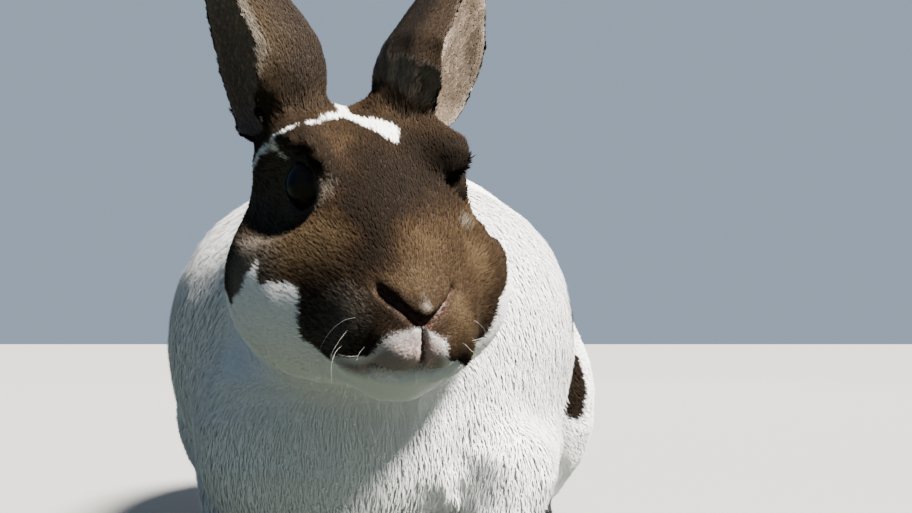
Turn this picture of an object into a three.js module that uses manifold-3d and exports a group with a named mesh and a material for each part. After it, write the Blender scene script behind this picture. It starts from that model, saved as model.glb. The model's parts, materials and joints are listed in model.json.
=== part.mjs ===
// A life-size Rex doe, crouched with her head raised and turned a little to her left.
// Millimetres. +X is her left side, +Y runs back from the nose to the tail, +Z is up.
// The flesh is one soft form, a blend of ellipsoids and tapered limbs, parted by thin flat cuts
// into the parts of the body. The ears, eyes and claws are shapes of their own.
import * as THREE from "three";
import { LoftGeometry } from "three/addons/geometries/LoftGeometry.js";
import { mergeVertices } from "three/addons/utils/BufferGeometryUtils.js";
import Module from "manifold-3d";

// ---- driving dimensions, out to the tips of the coat ----

const BODY_HALF_WIDTH = 108;
const BACK_HEIGHT = 190;
const RUMP_Y = 361;
const BELLY_CLEARANCE = 7;
const CHEEK_HALF_WIDTH = 46.5;

const NOSE_TIP = new THREE.Vector3(25.5, 0, 102);
const HEAD_YAW = 20;
const HEAD_PITCH = 28;
const HEAD_ROLL = 2;

const EAR_LENGTH = 98;
const EAR_RADIUS = 23.5;
const EAR_THICKNESS = 4;

const EYE_RADIUS = 10;
const EYE_PLACE = { side: 17.6, back: 59, up: 14.5 };

const CUT = 0.4;
const EYE_CLEARANCE = 0.3;
const EAR_CLEARANCE = 0.7;

const HEAD_STEP = 5.4;
const HEAD_GROWTH = 1.04;
const BODY_STEP = 17.4;
const NECK_STEP = 14;
const LEG_STEP = 9.7;
const FOOT_STEP = 6.4;
const FOOT_GROWTH = 1.16;

const SIDES = { left: 1, right: -1 };

const wasm = await Module();
wasm.setup();

// ---- soft forms ----

const radians = THREE.MathUtils.degToRad;
const clamp = THREE.MathUtils.clamp;

function vec(x, y, z) {
  return new THREE.Vector3(x, y, z);
}

// The head's own frame starts at the tip of the nose: x to her left, y back along the skull, z up.
const headTurn = new THREE.Quaternion()
  .setFromEuler(new THREE.Euler(0, 0, radians(HEAD_YAW)))
  .multiply(new THREE.Quaternion().setFromEuler(new THREE.Euler(radians(HEAD_PITCH), 0, 0)))
  .multiply(new THREE.Quaternion().setFromEuler(new THREE.Euler(0, radians(-HEAD_ROLL), 0)));
const headFrame = new THREE.Matrix4().compose(NOSE_TIP, headTurn, vec(1, 1, 1));
const bodyFrame = new THREE.Matrix4();

// An ellipsoid about a centre, tilted by degrees about its own x axis.
function ellipsoid(frame, centre, radii, blend, tilt = 0) {
  const place = new THREE.Matrix4().makeTranslation(centre);
  const inverse = frame.clone().multiply(place).multiply(new THREE.Matrix4().makeRotationX(radians(tilt)));
  inverse.invert();
  const local = vec(0, 0, 0);
  function distance(point) {
    local.copy(point).applyMatrix4(inverse).divide(radii);
    const reach = local.length();
    const slope = local.divide(radii).length();
    return slope > 1e-9 ? (reach * (reach - 1)) / slope : -Math.min(radii.x, radii.y, radii.z);
  }
  return { distance, blend };
}

// A round limb from one radius to another.
function limb(frame, start, startRadius, end, endRadius, blend) {
  const from = start.clone().applyMatrix4(frame);
  const along = end.clone().applyMatrix4(frame).sub(from);
  const lengthSq = along.lengthSq();
  const local = vec(0, 0, 0);
  function distance(point) {
    local.copy(point).sub(from);
    const t = clamp(local.dot(along) / lengthSq, 0, 1);
    const radius = startRadius + (endRadius - startRadius) * t;
    return local.addScaledVector(along, -t).length() - radius;
  }
  return { distance, blend };
}

function smoothMin(a, b, blend) {
  const h = Math.max(blend - Math.abs(a - b), 0) / blend;
  return Math.min(a, b) - (h * h * blend) / 4;
}

// The same form on both sides of the middle plane.
function pair(make) {
  return Object.values(SIDES).map(make);
}

const HIPS_Y = 255;
const THIGH = { half: 38, y: 245, z: 66, length: 82, height: 55 };
const trunkForms = [
  // The ribs, the rounded rump, the chest, and the dewlap that hangs a little to her right.
  ellipsoid(bodyFrame, vec(0, 205, 97), vec(84, 125, 84), 1),
  ellipsoid(bodyFrame, vec(0, HIPS_Y, (BACK_HEIGHT + BELLY_CLEARANCE) / 2),
    vec(88, RUMP_Y - HIPS_Y, (BACK_HEIGHT - BELLY_CLEARANCE) / 2), 26),
  ellipsoid(bodyFrame, vec(0, 124, 78), vec(64, 62, 58), 22),
  ellipsoid(bodyFrame, vec(-12, 92, 60), vec(48, 40, 44), 14),
  // The shoulders, the thighs and the neck.
  ...pair((side) => ellipsoid(bodyFrame, vec(side * 45, 150, 96), vec(41.5, 59, 58), 18)),
  ...pair((side) => ellipsoid(bodyFrame, vec(side * (BODY_HALF_WIDTH - THIGH.half), THIGH.y, THIGH.z),
    vec(THIGH.half, THIGH.length, THIGH.height), 12)),
  limb(bodyFrame, vec(-2, 92, 126), 36, vec(0, 160, 112), 56, 24),
];

// The tail is turned up against the rump.
const TAIL = { root: vec(0, RUMP_Y - 20, 46), tip: vec(0, RUMP_Y - 3, 86), rootRadius: 17, tipRadius: 13 };
const tailForm = limb(bodyFrame, TAIL.root, TAIL.rootRadius, TAIL.tip, TAIL.tipRadius, 1);

const headForms = [
  // The skull, its temples, the full cheeks and the jaw.
  ellipsoid(headFrame, vec(0, 79, 4), vec(32, 38, 29.5), 14),
  ...pair((side) => ellipsoid(headFrame, vec(side * 19, 81, 14), vec(17, 25, 17), 10)),
  ...pair((side) => ellipsoid(headFrame, vec(side * (CHEEK_HALF_WIDTH - 27), 54, -15), vec(27, 34, 30), 12)),
  ellipsoid(headFrame, vec(0, 48, -20), vec(29, 38, 23), 12),
  // The bridge of the nose, the muzzle, the nose, the two halves of the lip and the chin.
  ellipsoid(headFrame, vec(0, 38, 0), vec(24, 32, 22), 12, 12),
  ellipsoid(headFrame, vec(0, 19, -11), vec(22, 21, 18), 10),
  ellipsoid(headFrame, vec(0, 7.5, -2), vec(8.5, 8.5, 7.5), 5),
  ...pair((side) => ellipsoid(headFrame, vec(side * 9, 10, -16), vec(12, 10, 10), 5)),
  ellipsoid(headFrame, vec(0, 17, -28), vec(12, 12, 8), 7),
  // The brows over the eyes, and the muscle round the foot of each ear.
  ...pair((side) => ellipsoid(headFrame, vec(side * 23.5, 63, 26.5), vec(9, 18, 7), 7)),
  ...pair((side) => ellipsoid(headFrame, vec(side * 17, 90, 23), vec(13, 12, 11), 8)),
  // Her left ear's muscle reaches across the crown, because that ear is turned outward.
  ellipsoid(headFrame, vec(8.5, 88, 29.5), vec(11, 10, 10.5), 5),
];

// A shallow hollow in front of and below each brow, which the eye sits in.
const eyeHollows = pair((side) => ellipsoid(headFrame, vec(side * 36, EYE_PLACE.back - 6, EYE_PLACE.up),
  vec(16, 18, 13), 4));

// Each foreleg comes down from the elbow to the wrist, and then to a short flat foot.
const FORELEGS = {
  left: { elbow: vec(62, 132, 56), wrist: vec(54, 89, 49), ankle: vec(45, 80, 14), foot: vec(43, 72, 7) },
  right: {
    elbow: vec(-60, 150, 48),
    wrist: vec(-46, 116, 34),
    ankle: vec(-42, 104, 14),
    foot: vec(-42, 94, 7),
  },
};
const FORELEG_RADII = { elbow: 18.5, wrist: 18, ankle: 13 };
const FOREFOOT_RADII = vec(13, 21, 11);
const FORE_TOES = [-8.5, -3, 3, 8.5];

// Each hind foot lies flat along the floor under the thigh.
const HIND_FOOT = { side: 66, y: 212, z: 9, radii: vec(16, 66, 14) };
const HIND_TOES = [-10.5, -3.7, 3.7, 10.5];

// The middle toes reach furthest forward.
function toes(x, frontY, spread, radius, length) {
  return spread.map((offset) => ({
    centre: vec(x + offset, frontY + length * 0.55 + Math.abs(offset) * 0.45, radius * 0.6),
    radii: vec(radius, length, radius),
  }));
}

function foreToes({ foot }) {
  return toes(foot.x, foot.y - FOREFOOT_RADII.y - 3, FORE_TOES, 5.2, 13);
}

function hindToes(side) {
  return toes(side * HIND_FOOT.side, HIND_FOOT.y - HIND_FOOT.radii.y - 3, HIND_TOES, 6, 17);
}

const TOE_BLEND = 2.5;
function toeForm({ centre, radii }) {
  return ellipsoid(bodyFrame, centre, radii, TOE_BLEND);
}

function forelegForms(leg) {
  const { elbow, wrist, ankle, foot } = leg;
  return [
    limb(bodyFrame, elbow, FORELEG_RADII.elbow, wrist, FORELEG_RADII.wrist, 4),
    limb(bodyFrame, wrist, FORELEG_RADII.wrist, ankle, FORELEG_RADII.ankle, 3),
    ellipsoid(bodyFrame, foot, FOREFOOT_RADII, 5),
    ...foreToes(leg).map(toeForm),
  ];
}

function hindFootForms(side) {
  const x = side * HIND_FOOT.side;
  return [
    ellipsoid(bodyFrame, vec(x, HIND_FOOT.y, HIND_FOOT.z), HIND_FOOT.radii, 6),
    ...hindToes(side).map(toeForm),
  ];
}

const forms = [
  ...trunkForms,
  ...headForms,
  ...Object.values(FORELEGS).flatMap(forelegForms),
  ...pair(hindFootForms).flat(),
];

// Negative inside the flesh, and close to the distance from its surface.
function flesh(point) {
  let value = forms[0].distance(point);
  for (const form of forms.slice(1)) value = smoothMin(value, form.distance(point), form.blend);
  for (const hollow of eyeHollows) value = -smoothMin(-value, hollow.distance(point), hollow.blend);
  return value;
}

// ---- a closed net of triangles over a form ----

const slopeProbe = [vec(0.5, 0, 0), vec(0, 0.5, 0), vec(0, 0, 0.5)];

// Moves a point onto the surface where the field has this level.
function settle(point, field, level) {
  const slope = vec(0, 0, 0);
  for (let round = 0; round < 3; round++) {
    slopeProbe.forEach((probe, axis) => {
      const ahead = field(point.clone().add(probe));
      const behind = field(point.clone().sub(probe));
      slope.setComponent(axis, ahead - behind);
    });
    point.addScaledVector(slope, -(field(point) - level) / Math.max(slope.lengthSq(), 1e-6));
  }
}

// Grid lines from one end past the other. The steps along y grow towards the back by this ratio.
function gridLines(from, to, step, growth) {
  const lines = [from];
  for (let next = step; lines.at(-1) < to; next *= growth) lines.push(lines.at(-1) + next);
  return lines;
}

// One vertex in each grid cell that the surface crosses, and one quad over each grid edge that it crosses.
function cover(field, box, step, level = 0, growth = 1) {
  const lines = [0, 1, 2].map((axis) => gridLines(
    box.min.getComponent(axis), box.max.getComponent(axis), step, axis === 1 ? growth : 1));
  const counts = lines.map((along) => along.length);
  const [nx, ny, nz] = counts;
  const strides = [1, nx, nx * ny];
  const at = (i, j, k) => i + j * strides[1] + k * strides[2];
  const values = new Float32Array(nx * ny * nz).fill(1);
  const between = (along, n) => {
    const low = Math.floor(n);
    return THREE.MathUtils.lerp(along[low], along[Math.min(low + 1, along.length - 1)], n - low);
  };
  const corner = (i, j, k) => vec(between(lines[0], i), between(lines[1], j), between(lines[2], k));
  for (let k = 1; k < nz - 1; k++) {
    for (let j = 1; j < ny - 1; j++) {
      for (let i = 1; i < nx - 1; i++) values[at(i, j, k)] = field(corner(i, j, k)) - level;
    }
  }
  const vertexOf = new Map();
  const positions = [];
  for (let k = 0; k < nz - 1; k++) {
    for (let j = 0; j < ny - 1; j++) {
      for (let i = 0; i < nx - 1; i++) {
        const crossings = cellCrossings(values, at, strides, [i, j, k]);
        if (!crossings.length) continue;
        const middle = vec(0, 0, 0);
        for (const crossing of crossings) middle.add(crossing);
        middle.divideScalar(crossings.length);
        middle.copy(corner(...middle.toArray()));
        const inside = [i, j, k].every((n, axis) => n > 0 && n < counts[axis] - 2);
        if (inside) settle(middle, field, level);
        vertexOf.set(at(i, j, k), positions.length / 3);
        positions.push(...middle.toArray());
      }
    }
  }
  const index = [];
  for (let k = 0; k < nz - 1; k++) {
    for (let j = 0; j < ny - 1; j++) {
      for (let i = 0; i < nx - 1; i++) {
        for (let axis = 0; axis < 3; axis++) {
          const here = at(i, j, k);
          const solid = values[here] < 0;
          if (solid === values[here + strides[axis]] < 0) continue;
          const u = strides[(axis + 1) % 3];
          const v = strides[(axis + 2) % 3];
          const ring = [here, here - u, here - u - v, here - v].map((cell) => vertexOf.get(cell));
          pushQuad(index, positions, solid ? ring : ring.reverse());
        }
      }
    }
  }
  const geometry = new THREE.BufferGeometry();
  geometry.setAttribute("position", new THREE.Float32BufferAttribute(positions, 3));
  geometry.setIndex(index);
  return geometry;
}

function cellCrossings(values, at, strides, cell) {
  const found = [];
  for (let axis = 0; axis < 3; axis++) {
    const u = (axis + 1) % 3;
    const v = (axis + 2) % 3;
    for (const du of [0, 1]) {
      for (const dv of [0, 1]) {
        const start = [...cell];
        start[u] += du;
        start[v] += dv;
        const a = values[at(...start)];
        const b = values[at(...start) + strides[axis]];
        if (a < 0 === b < 0) continue;
        const crossing = vec(...start);
        crossing.setComponent(axis, start[axis] + a / (a - b));
        found.push(crossing);
      }
    }
  }
  return found;
}

// Splits a quad along its shorter diagonal.
function pushQuad(index, positions, [a, b, c, d]) {
  const far = (p, q) => Math.hypot(...[0, 1, 2].map((n) => positions[3 * p + n] - positions[3 * q + n]));
  if (far(a, c) < far(b, d)) index.push(a, b, c, a, c, d);
  else index.push(a, b, d, b, c, d);
}

// ---- joins and cuts ----

function solidOf(geometry) {
  const bare = new THREE.BufferGeometry();
  bare.setAttribute("position", geometry.getAttribute("position"));
  bare.setIndex(geometry.index);
  const merged = mergeVertices(bare, 1e-4);
  const vertProperties = new Float32Array(merged.attributes.position.array);
  const triVerts = new Uint32Array(merged.index.array);
  return new wasm.Manifold(new wasm.Mesh({ numProp: 3, vertProperties, triVerts }));
}

function geometryOf(solid) {
  const mesh = solid.getMesh();
  const geometry = new THREE.BufferGeometry();
  geometry.setAttribute("position", new THREE.BufferAttribute(new Float32Array(mesh.vertProperties), 3));
  geometry.setIndex(new THREE.BufferAttribute(new Uint32Array(mesh.triVerts), 1));
  geometry.computeVertexNormals();
  return geometry;
}

// A large block on the far side of a plane, which it reaches past by the margin.
const BLOCK = 900;
function blockBeyond(point, normal, margin) {
  const geometry = new THREE.BoxGeometry(BLOCK, BLOCK, BLOCK);
  geometry.translate(0, 0, BLOCK / 2 - margin);
  const outward = normal.clone().normalize();
  geometry.applyQuaternion(new THREE.Quaternion().setFromUnitVectors(vec(0, 0, 1), outward));
  geometry.translate(point.x, point.y, point.z);
  return solidOf(geometry);
}

// The space on the near side of several planes, grown by the margin.
function wedge(planes, margin) {
  const start = solidOf(new THREE.BoxGeometry(BLOCK, BLOCK, BLOCK));
  const beyond = planes.map(([point, normal]) => blockBeyond(point, normal, -margin));
  return beyond.reduce((space, block) => space.subtract(block), start);
}

function boxSpace(centre, size, margin) {
  const grown = size.clone().addScalar(2 * margin);
  const geometry = new THREE.BoxGeometry(grown.x, grown.y, grown.z);
  geometry.translate(centre.x, centre.y, centre.z);
  return solidOf(geometry);
}

// A round space whose axis runs from side to side.
function roundSpace(centre, radius, depth, margin) {
  const geometry = new THREE.CylinderGeometry(radius + margin, radius + margin, depth + 2 * margin, 20);
  geometry.rotateZ(Math.PI / 2);
  geometry.translate(centre.x, centre.y, centre.z);
  return solidOf(geometry);
}

// Each cut is a plane: a point on it, and the way that points out of the part.
const NAPE = [vec(0, 89, 125), vec(0, 0.955, -0.297)];
const THROAT = [vec(0, 45, 76), vec(0, 0.13, -1)];
const SHOULDER_LINE = [vec(0, 142, 130), vec(0, 0.93, -0.36)];
const CHEST_LINE = [vec(0, 104, 60), vec(0, 1, 0.1)];
const DEWLAP_TOP = [vec(0, 96, 84), vec(0, 0.05, 1)];
const NECK_FOOT = [vec(0, 0, 82), vec(0, 0.05, -1)];

// The space of each part of flesh, in the order in which they are cut off. What is left is the trunk.
const spaces = {
  head: { step: HEAD_STEP, growth: HEAD_GROWTH, make: (m) => wedge([NAPE, THROAT], m) },
};
for (const [name, side] of Object.entries(SIDES)) {
  const { foot, wrist } = FORELEGS[name];
  spaces["forefoot_" + name] = {
    step: FOOT_STEP,
    growth: FOOT_GROWTH,
    make: (m) => boxSpace(vec(foot.x, foot.y - 4, -4), vec(34, 58, 40), m),
  };
  spaces["foreleg_" + name] = {
    step: LEG_STEP,
    make: (m) => boxSpace(vec(wrist.x + side * 4, wrist.y - 2, 29), vec(47, 52, 82), m),
  };
  spaces["hind_foot_" + name] = {
    step: FOOT_STEP,
    growth: FOOT_GROWTH,
    make: (m) => boxSpace(vec(side * 68, 206, -3), vec(44, 154, 44), m),
  };
  spaces["thigh_" + name] = {
    step: BODY_STEP,
    make: (m) => roundSpace(vec(side * 92, 247, 72), 80, 84, m),
  };
}
spaces.dewlap = { step: NECK_STEP, make: (m) => wedge([CHEST_LINE, DEWLAP_TOP], m) };
spaces.neck = { step: NECK_STEP, make: (m) => wedge([SHOULDER_LINE, NECK_FOOT], m) };

// The box of a space, held to the body's own size and with room for the net's rim.
const BODY_BOX = new THREE.Box3(vec(-135, -20, -25), vec(135, RUMP_Y + 35, 215));
const TAIL_BOX = new THREE.Box3(TAIL.root, TAIL.tip).expandByScalar(TAIL.rootRadius + 2 * LEG_STEP);
function netBox(solid, step) {
  const { min, max } = solid.boundingBox();
  const box = new THREE.Box3(vec(...min), vec(...max)).expandByScalar(2 * step);
  return box.intersect(BODY_BOX);
}

const group = new THREE.Group();
const FINISHES = {
  white: { color: 0xf1efec, roughness: 0.95 },
  brown: { color: 0x6b4a32, roughness: 0.95 },
  eye: { color: 0x120b08, roughness: 0.08 },
  claw: { color: 0xb9a894, roughness: 0.45 },
};

function addMesh(name, geometry, finish) {
  const material = new THREE.MeshStandardMaterial({ ...FINISHES[finish], metalness: 0 });
  const mesh = new THREE.Mesh(geometry, material);
  mesh.name = name;
  group.add(mesh);
}

// Only the largest body of a cut, so that no crumb is left beside it, and without its tiny slivers.
const SLIVER = 0.1;
function mainBody(solid) {
  return solid.decompose().sort((a, b) => b.volume() - a.volume())[0].simplify(SLIVER);
}

const ground = blockBeyond(vec(0, 0, 0), vec(0, 0, -1), 0);

function fleshParts() {
  const parts = {};
  let taken = ground;
  for (const [name, { step, growth, make }] of Object.entries(spaces)) {
    const space = make(-CUT / 2);
    const net = solidOf(cover(flesh, netBox(space, step), step, 0, growth));
    parts[name] = mainBody(net.intersect(space).subtract(taken));
    taken = taken.add(make(CUT / 2));
  }
  const whole = solidOf(cover(flesh, BODY_BOX, BODY_STEP));
  parts.trunk = mainBody(whole.subtract(taken));
  const tailNet = solidOf(cover((point) => tailForm.distance(point), TAIL_BOX, LEG_STEP));
  parts.tail = mainBody(tailNet.subtract(solidOf(cover(flesh, BODY_BOX, BODY_STEP, CUT))));
  return parts;
}

// ---- eyes ----

function eyeSphere(side, radius) {
  const sphere = new THREE.SphereGeometry(radius, 14, 8);
  sphere.translate(side * EYE_PLACE.side, EYE_PLACE.back, EYE_PLACE.up);
  return sphere.applyMatrix4(headFrame);
}

// ---- claws ----

const CLAW_SIDES = 5;
const CLAW = { radius: 1.5, length: 8, drop: 2.2, rise: 1.4, step: 0.1 };

// A claw starts just ahead of its toe and curves down to a point above the floor.
function clawGeometry({ centre, radii }) {
  const root = vec(centre.x, centre.y - radii.y * 0.6, centre.z + CLAW.rise);
  while (flesh(root) < CUT) root.y -= CLAW.step;
  const sections = [0, 0.5, 1].map((t) => {
    const radius = CLAW.radius * (1 - 0.85 * t);
    const middle = vec(0, -CLAW.length * t, -CLAW.drop * t * t).add(root);
    const ring = [];
    for (let n = 0; n < CLAW_SIDES; n++) {
      const angle = (2 * Math.PI * n) / CLAW_SIDES;
      ring.push(vec(Math.cos(angle) * radius, 0, Math.sin(angle) * radius).add(middle));
    }
    return ring;
  });
  return new LoftGeometry(sections, { closed: true, capStart: true, capEnd: true });
}

// ---- ears ----

const EAR_ROWS = 11;
const EAR_COLUMNS = 8;
const EAR_WIDEST = 0.26;
const EAR_BOW = 6;
const EAR_ROOT = { side: 15, back: 88, up: 22 };
// The foot of her left ear bends in towards the crown: how far, in the ear's own frame, and over how much of it.
const EAR_FOOT_BEND = { 1: vec(-6, 7, 0), [-1]: vec(0, 0, 0) };
const EAR_FOOT_SHARE = 0.45;
// How far round an ear's wall wraps at the root and at its widest, in degrees, where it reaches that, and what it
// gains above. The outer margin of her left ear is drawn back.
const USUAL_WRAP = { root: 168, widest: 108, at: EAR_WIDEST, gain: 0 };
const EAR_CLOSED = { 1: { root: 150, widest: 98, at: 0.2, gain: 10 }, [-1]: USUAL_WRAP, usual: USUAL_WRAP };
const { lerp, smoothstep } = THREE.MathUtils;

// The radius of the ear's trough swells from the root to EAR_WIDEST of its length and falls to a round tip.
function earRadius(t) {
  const swell = lerp(0.5, 1, smoothstep(t, 0, EAR_WIDEST));
  const taper = lerp(1, 0.64, smoothstep(t, 0.2, 0.75));
  return EAR_RADIUS * swell * taper * Math.sqrt(Math.max(1 - Math.pow(t, 6), 0)) + 0.6;
}

// How far round the ear's wall wraps from its back: almost a tube at the root, and open at the tip.
function earWrap(t, { root, widest, at, gain }) {
  const closed = lerp(root, widest, smoothstep(t, 0, at)) + gain * smoothstep(t, 0.3, 0.5);
  return radians(lerp(closed, 58, smoothstep(t, 0.5, 1)));
}

// A trough-shaped wall that narrows to a tip, in the ear's own frame: z to the tip, -y out of its mouth.
function earGeometry(side) {
  const sections = [];
  for (let row = 0; row <= EAR_ROWS; row++) {
    const t = row / EAR_ROWS;
    const outerWrap = earWrap(t, EAR_CLOSED[side]);
    const innerWrap = earWrap(t, EAR_CLOSED.usual);
    const radius = earRadius(t);
    const bow = EAR_BOW * Math.sin(Math.PI * t);
    const wall = Math.min(EAR_THICKNESS, radius * 0.7) * (1 - 0.35 * t);
    const outer = [];
    const inner = [];
    for (let column = 0; column <= EAR_COLUMNS; column++) {
      const across = (2 * column) / EAR_COLUMNS - 1;
      const angle = across * (across * side > 0 ? outerWrap : innerWrap);
      const thin = 1 - 0.45 * Math.pow(across, 4);
      const direction = vec(Math.sin(angle), Math.cos(angle), 0);
      const bend = Math.pow(Math.max(1 - t / EAR_FOOT_SHARE, 0), 2);
      const centre = vec(0, bow - radius * 0.4, EAR_LENGTH * t).addScaledVector(EAR_FOOT_BEND[side], bend);
      outer.push(direction.clone().multiplyScalar(radius).add(centre));
      inner.push(direction.clone().multiplyScalar(radius - wall * thin).add(centre));
    }
    sections.push([...outer.reverse(), ...inner]);
  }
  const geometry = new LoftGeometry(sections, { closed: true, capStart: true, capEnd: true });
  return geometry.applyMatrix4(earPlace(side));
}

// Ears stand on the back of the skull, spread and leant back, with their mouths turned outward.
const EAR_TURNS = { 1: { spread: 31, lean: 0, opens: 40 }, [-1]: { spread: 35, lean: 8, opens: 63 } };
function earPlace(side) {
  const { spread, lean, opens } = EAR_TURNS[side];
  const turn = new THREE.Quaternion()
    .setFromEuler(new THREE.Euler(0, radians(side * spread), 0))
    .multiply(new THREE.Quaternion().setFromEuler(new THREE.Euler(radians(-lean - HEAD_PITCH), 0, 0)))
    .multiply(new THREE.Quaternion().setFromEuler(new THREE.Euler(0, 0, radians(side * opens))));
  const root = vec(side * EAR_ROOT.side, EAR_ROOT.back, EAR_ROOT.up);
  return headFrame.clone().multiply(new THREE.Matrix4().compose(root, turn, vec(1, 1, 1)));
}

// ---- assembly ----

const parts = fleshParts();
const headBox = netBox(spaces.head.make(-CUT / 2), HEAD_STEP);
const grownHead = solidOf(cover(flesh, headBox, HEAD_STEP, EAR_CLEARANCE, HEAD_GROWTH));

for (const [name, side] of Object.entries(SIDES)) {
  const socket = solidOf(eyeSphere(side, EYE_RADIUS + EYE_CLEARANCE));
  parts.head = mainBody(parts.head.subtract(socket));
  addMesh("eye_" + name, eyeSphere(side, EYE_RADIUS), "eye");
  const ear = mainBody(solidOf(earGeometry(side)).subtract(grownHead));
  addMesh("ear_" + name, geometryOf(ear), "brown");
}
for (const [name, side] of Object.entries(SIDES)) {
  const paws = { fore: foreToes(FORELEGS[name]), hind: hindToes(side) };
  for (const [paw, list] of Object.entries(paws)) {
    list.forEach((toe, n) => addMesh(`claw_${paw}_${name}_${n + 1}`, clawGeometry(toe), "claw"));
  }
}
for (const [name, solid] of Object.entries(parts)) {
  addMesh(name, geometryOf(solid), name === "head" ? "brown" : "white");
}

// The origin is on the floor, under the middle of the whole rabbit.
const extent = new THREE.Box3().setFromObject(group);
group.position.set(-(extent.min.x + extent.max.x) / 2, -(extent.min.y + extent.max.y) / 2, 0);

export default group;
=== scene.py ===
# %% [markdown]
# # A life-size Rex doe
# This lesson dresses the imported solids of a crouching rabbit. The solids hold her size and pose out to the tips of
# her coat. Here they become one skin that lies a coat's depth below, with lids, nostrils and lips, and the skin then
# grows a dense velvet coat. The eyes and claws stay pieces of their own.

import json
import math
import random

import bmesh
import bpy
import numpy as np
from mathutils import Matrix, Vector, noise
from mathutils.bvhtree import BVHTree

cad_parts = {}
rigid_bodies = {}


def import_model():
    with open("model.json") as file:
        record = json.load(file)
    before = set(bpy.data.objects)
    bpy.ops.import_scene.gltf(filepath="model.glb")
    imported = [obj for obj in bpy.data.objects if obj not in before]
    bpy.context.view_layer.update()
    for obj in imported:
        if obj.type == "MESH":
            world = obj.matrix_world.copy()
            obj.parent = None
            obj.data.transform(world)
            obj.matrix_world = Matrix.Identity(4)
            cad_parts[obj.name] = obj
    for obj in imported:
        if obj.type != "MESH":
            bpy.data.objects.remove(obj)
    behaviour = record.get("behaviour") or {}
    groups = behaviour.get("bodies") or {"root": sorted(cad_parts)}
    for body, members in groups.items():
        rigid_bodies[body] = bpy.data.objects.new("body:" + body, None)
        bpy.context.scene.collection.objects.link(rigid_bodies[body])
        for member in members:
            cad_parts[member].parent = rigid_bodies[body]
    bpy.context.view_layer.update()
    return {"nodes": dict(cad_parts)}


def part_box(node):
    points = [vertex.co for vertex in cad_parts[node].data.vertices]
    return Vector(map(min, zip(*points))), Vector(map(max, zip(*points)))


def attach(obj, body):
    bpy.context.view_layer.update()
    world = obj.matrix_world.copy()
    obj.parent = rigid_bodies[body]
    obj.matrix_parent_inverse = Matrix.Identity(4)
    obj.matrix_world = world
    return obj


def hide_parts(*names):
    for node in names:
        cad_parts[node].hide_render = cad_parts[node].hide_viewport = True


MM = 0.001
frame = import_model()

# %% [markdown]
# A few short tools come first, because every later cell repeats them: new objects, lengths of rows of numbers, and a
# class that adds and links nodes in one tree.

# %% Short tools
def new_object(name, data):
    thing = bpy.data.objects.new(name, data)
    bpy.context.scene.collection.objects.link(thing)
    return thing


def finished_mesh(thing):
    """The mesh as the object's modifiers leave it."""
    return bpy.data.meshes.new_from_object(thing.evaluated_get(bpy.context.evaluated_depsgraph_get()))


def lengths(rows):
    return np.linalg.norm(rows, axis=1)


def unit(rows):
    return rows / lengths(rows)[:, None].clip(1e-9)


def gap_to(place, points):
    return lengths(points - np.array(place))


class Nodes:
    """A short way to add and link nodes in one tree."""

    def __init__(self, tree, **sockets):
        self.tree, self.ids = tree, {}
        for title, kind in sockets.items():
            title = title.replace("_", " ")
            made = tree.interface.new_socket(title, in_out="INPUT", socket_type="NodeSocket" + kind)
            self.ids[title] = made.identifier
        self.given = tree.nodes.new("NodeGroupInput").outputs if sockets else None

    def plug(self, target, source):
        """Links a socket, or sets a plain value."""
        if isinstance(source, bpy.types.NodeSocket):
            self.tree.links.new(source, target)
        elif isinstance(source, tuple) and len(source) == 3 and target.type == "RGBA":
            target.default_value = (*source, 1)
        else:
            target.default_value = source

    def add(self, kind, links=(), **settings):
        made = self.tree.nodes.new(kind)
        for key, value in settings.items():
            setattr(made, key, value)
        for key, value in dict(links).items():
            self.plug(made.inputs[key], value)
        return made

    def result(self, title, kind, source):
        self.tree.interface.new_socket(title, in_out="OUTPUT", socket_type="NodeSocket" + kind)
        self.add("NodeGroupOutput", {title: source})

    def math(self, operation, *values, clamp=False):
        return self.add("ShaderNodeMath", enumerate(values), operation=operation, use_clamp=clamp).outputs[0]

    def scaled(self, value, by, plus=None, clamp=False):
        if plus is None:
            return self.math("MULTIPLY", value, by, clamp=clamp)
        return self.math("MULTIPLY_ADD", value, by, plus, clamp=clamp)

    def vector(self, operation, first, second=None):
        second_input = "Scale" if operation == "SCALE" else 1
        links = {0: first} if second is None else {0: first, second_input: second}
        return self.add("ShaderNodeVectorMath", links, operation=operation).outputs["Vector"]

    def mix(self, share, first, second):
        return self.add("ShaderNodeMix", {"Factor": share, 6: first, 7: second}, data_type="RGBA").outputs[2]

    def ramp(self, value, stops):
        node = self.add("ShaderNodeValToRGB", {0: value})
        elements = node.color_ramp.elements
        while len(elements) < len(stops):
            elements.new(0.5)
        for element, (place, colour) in zip(elements, stops):
            element.position = place
            element.color = (*colour, 1) if isinstance(colour, tuple) else (colour, colour, colour, 1)
        return node.outputs[0]

    def field(self, name):
        return self.add("ShaderNodeAttribute", attribute_name=name).outputs["Fac"]

    def mottle(self, size):
        """Noise whose lumps are about `size` millimetres across."""
        place = self.add("ShaderNodeTexCoord").outputs["Object"]
        return self.add("ShaderNodeTexNoise", {"Vector": place, "Scale": 1 / (size * MM)})


def new_paint(name, roughness, specular=0.5):
    """A material, its nodes, and the inputs of its shader."""
    material = bpy.data.materials.new(name)
    material.use_nodes = True
    inputs = material.node_tree.nodes["Principled BSDF"].inputs
    inputs["Roughness"].default_value = roughness
    inputs["Specular IOR Level"].default_value = specular
    return material, Nodes(material.node_tree), inputs


print("tools ready")

# %% [markdown]
# The camera stands low and close, as when someone lies on the lawn in front of her, so the head looks large against
# the body and the ears run out of the top of the view. It is placed from the head's own box.

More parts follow.
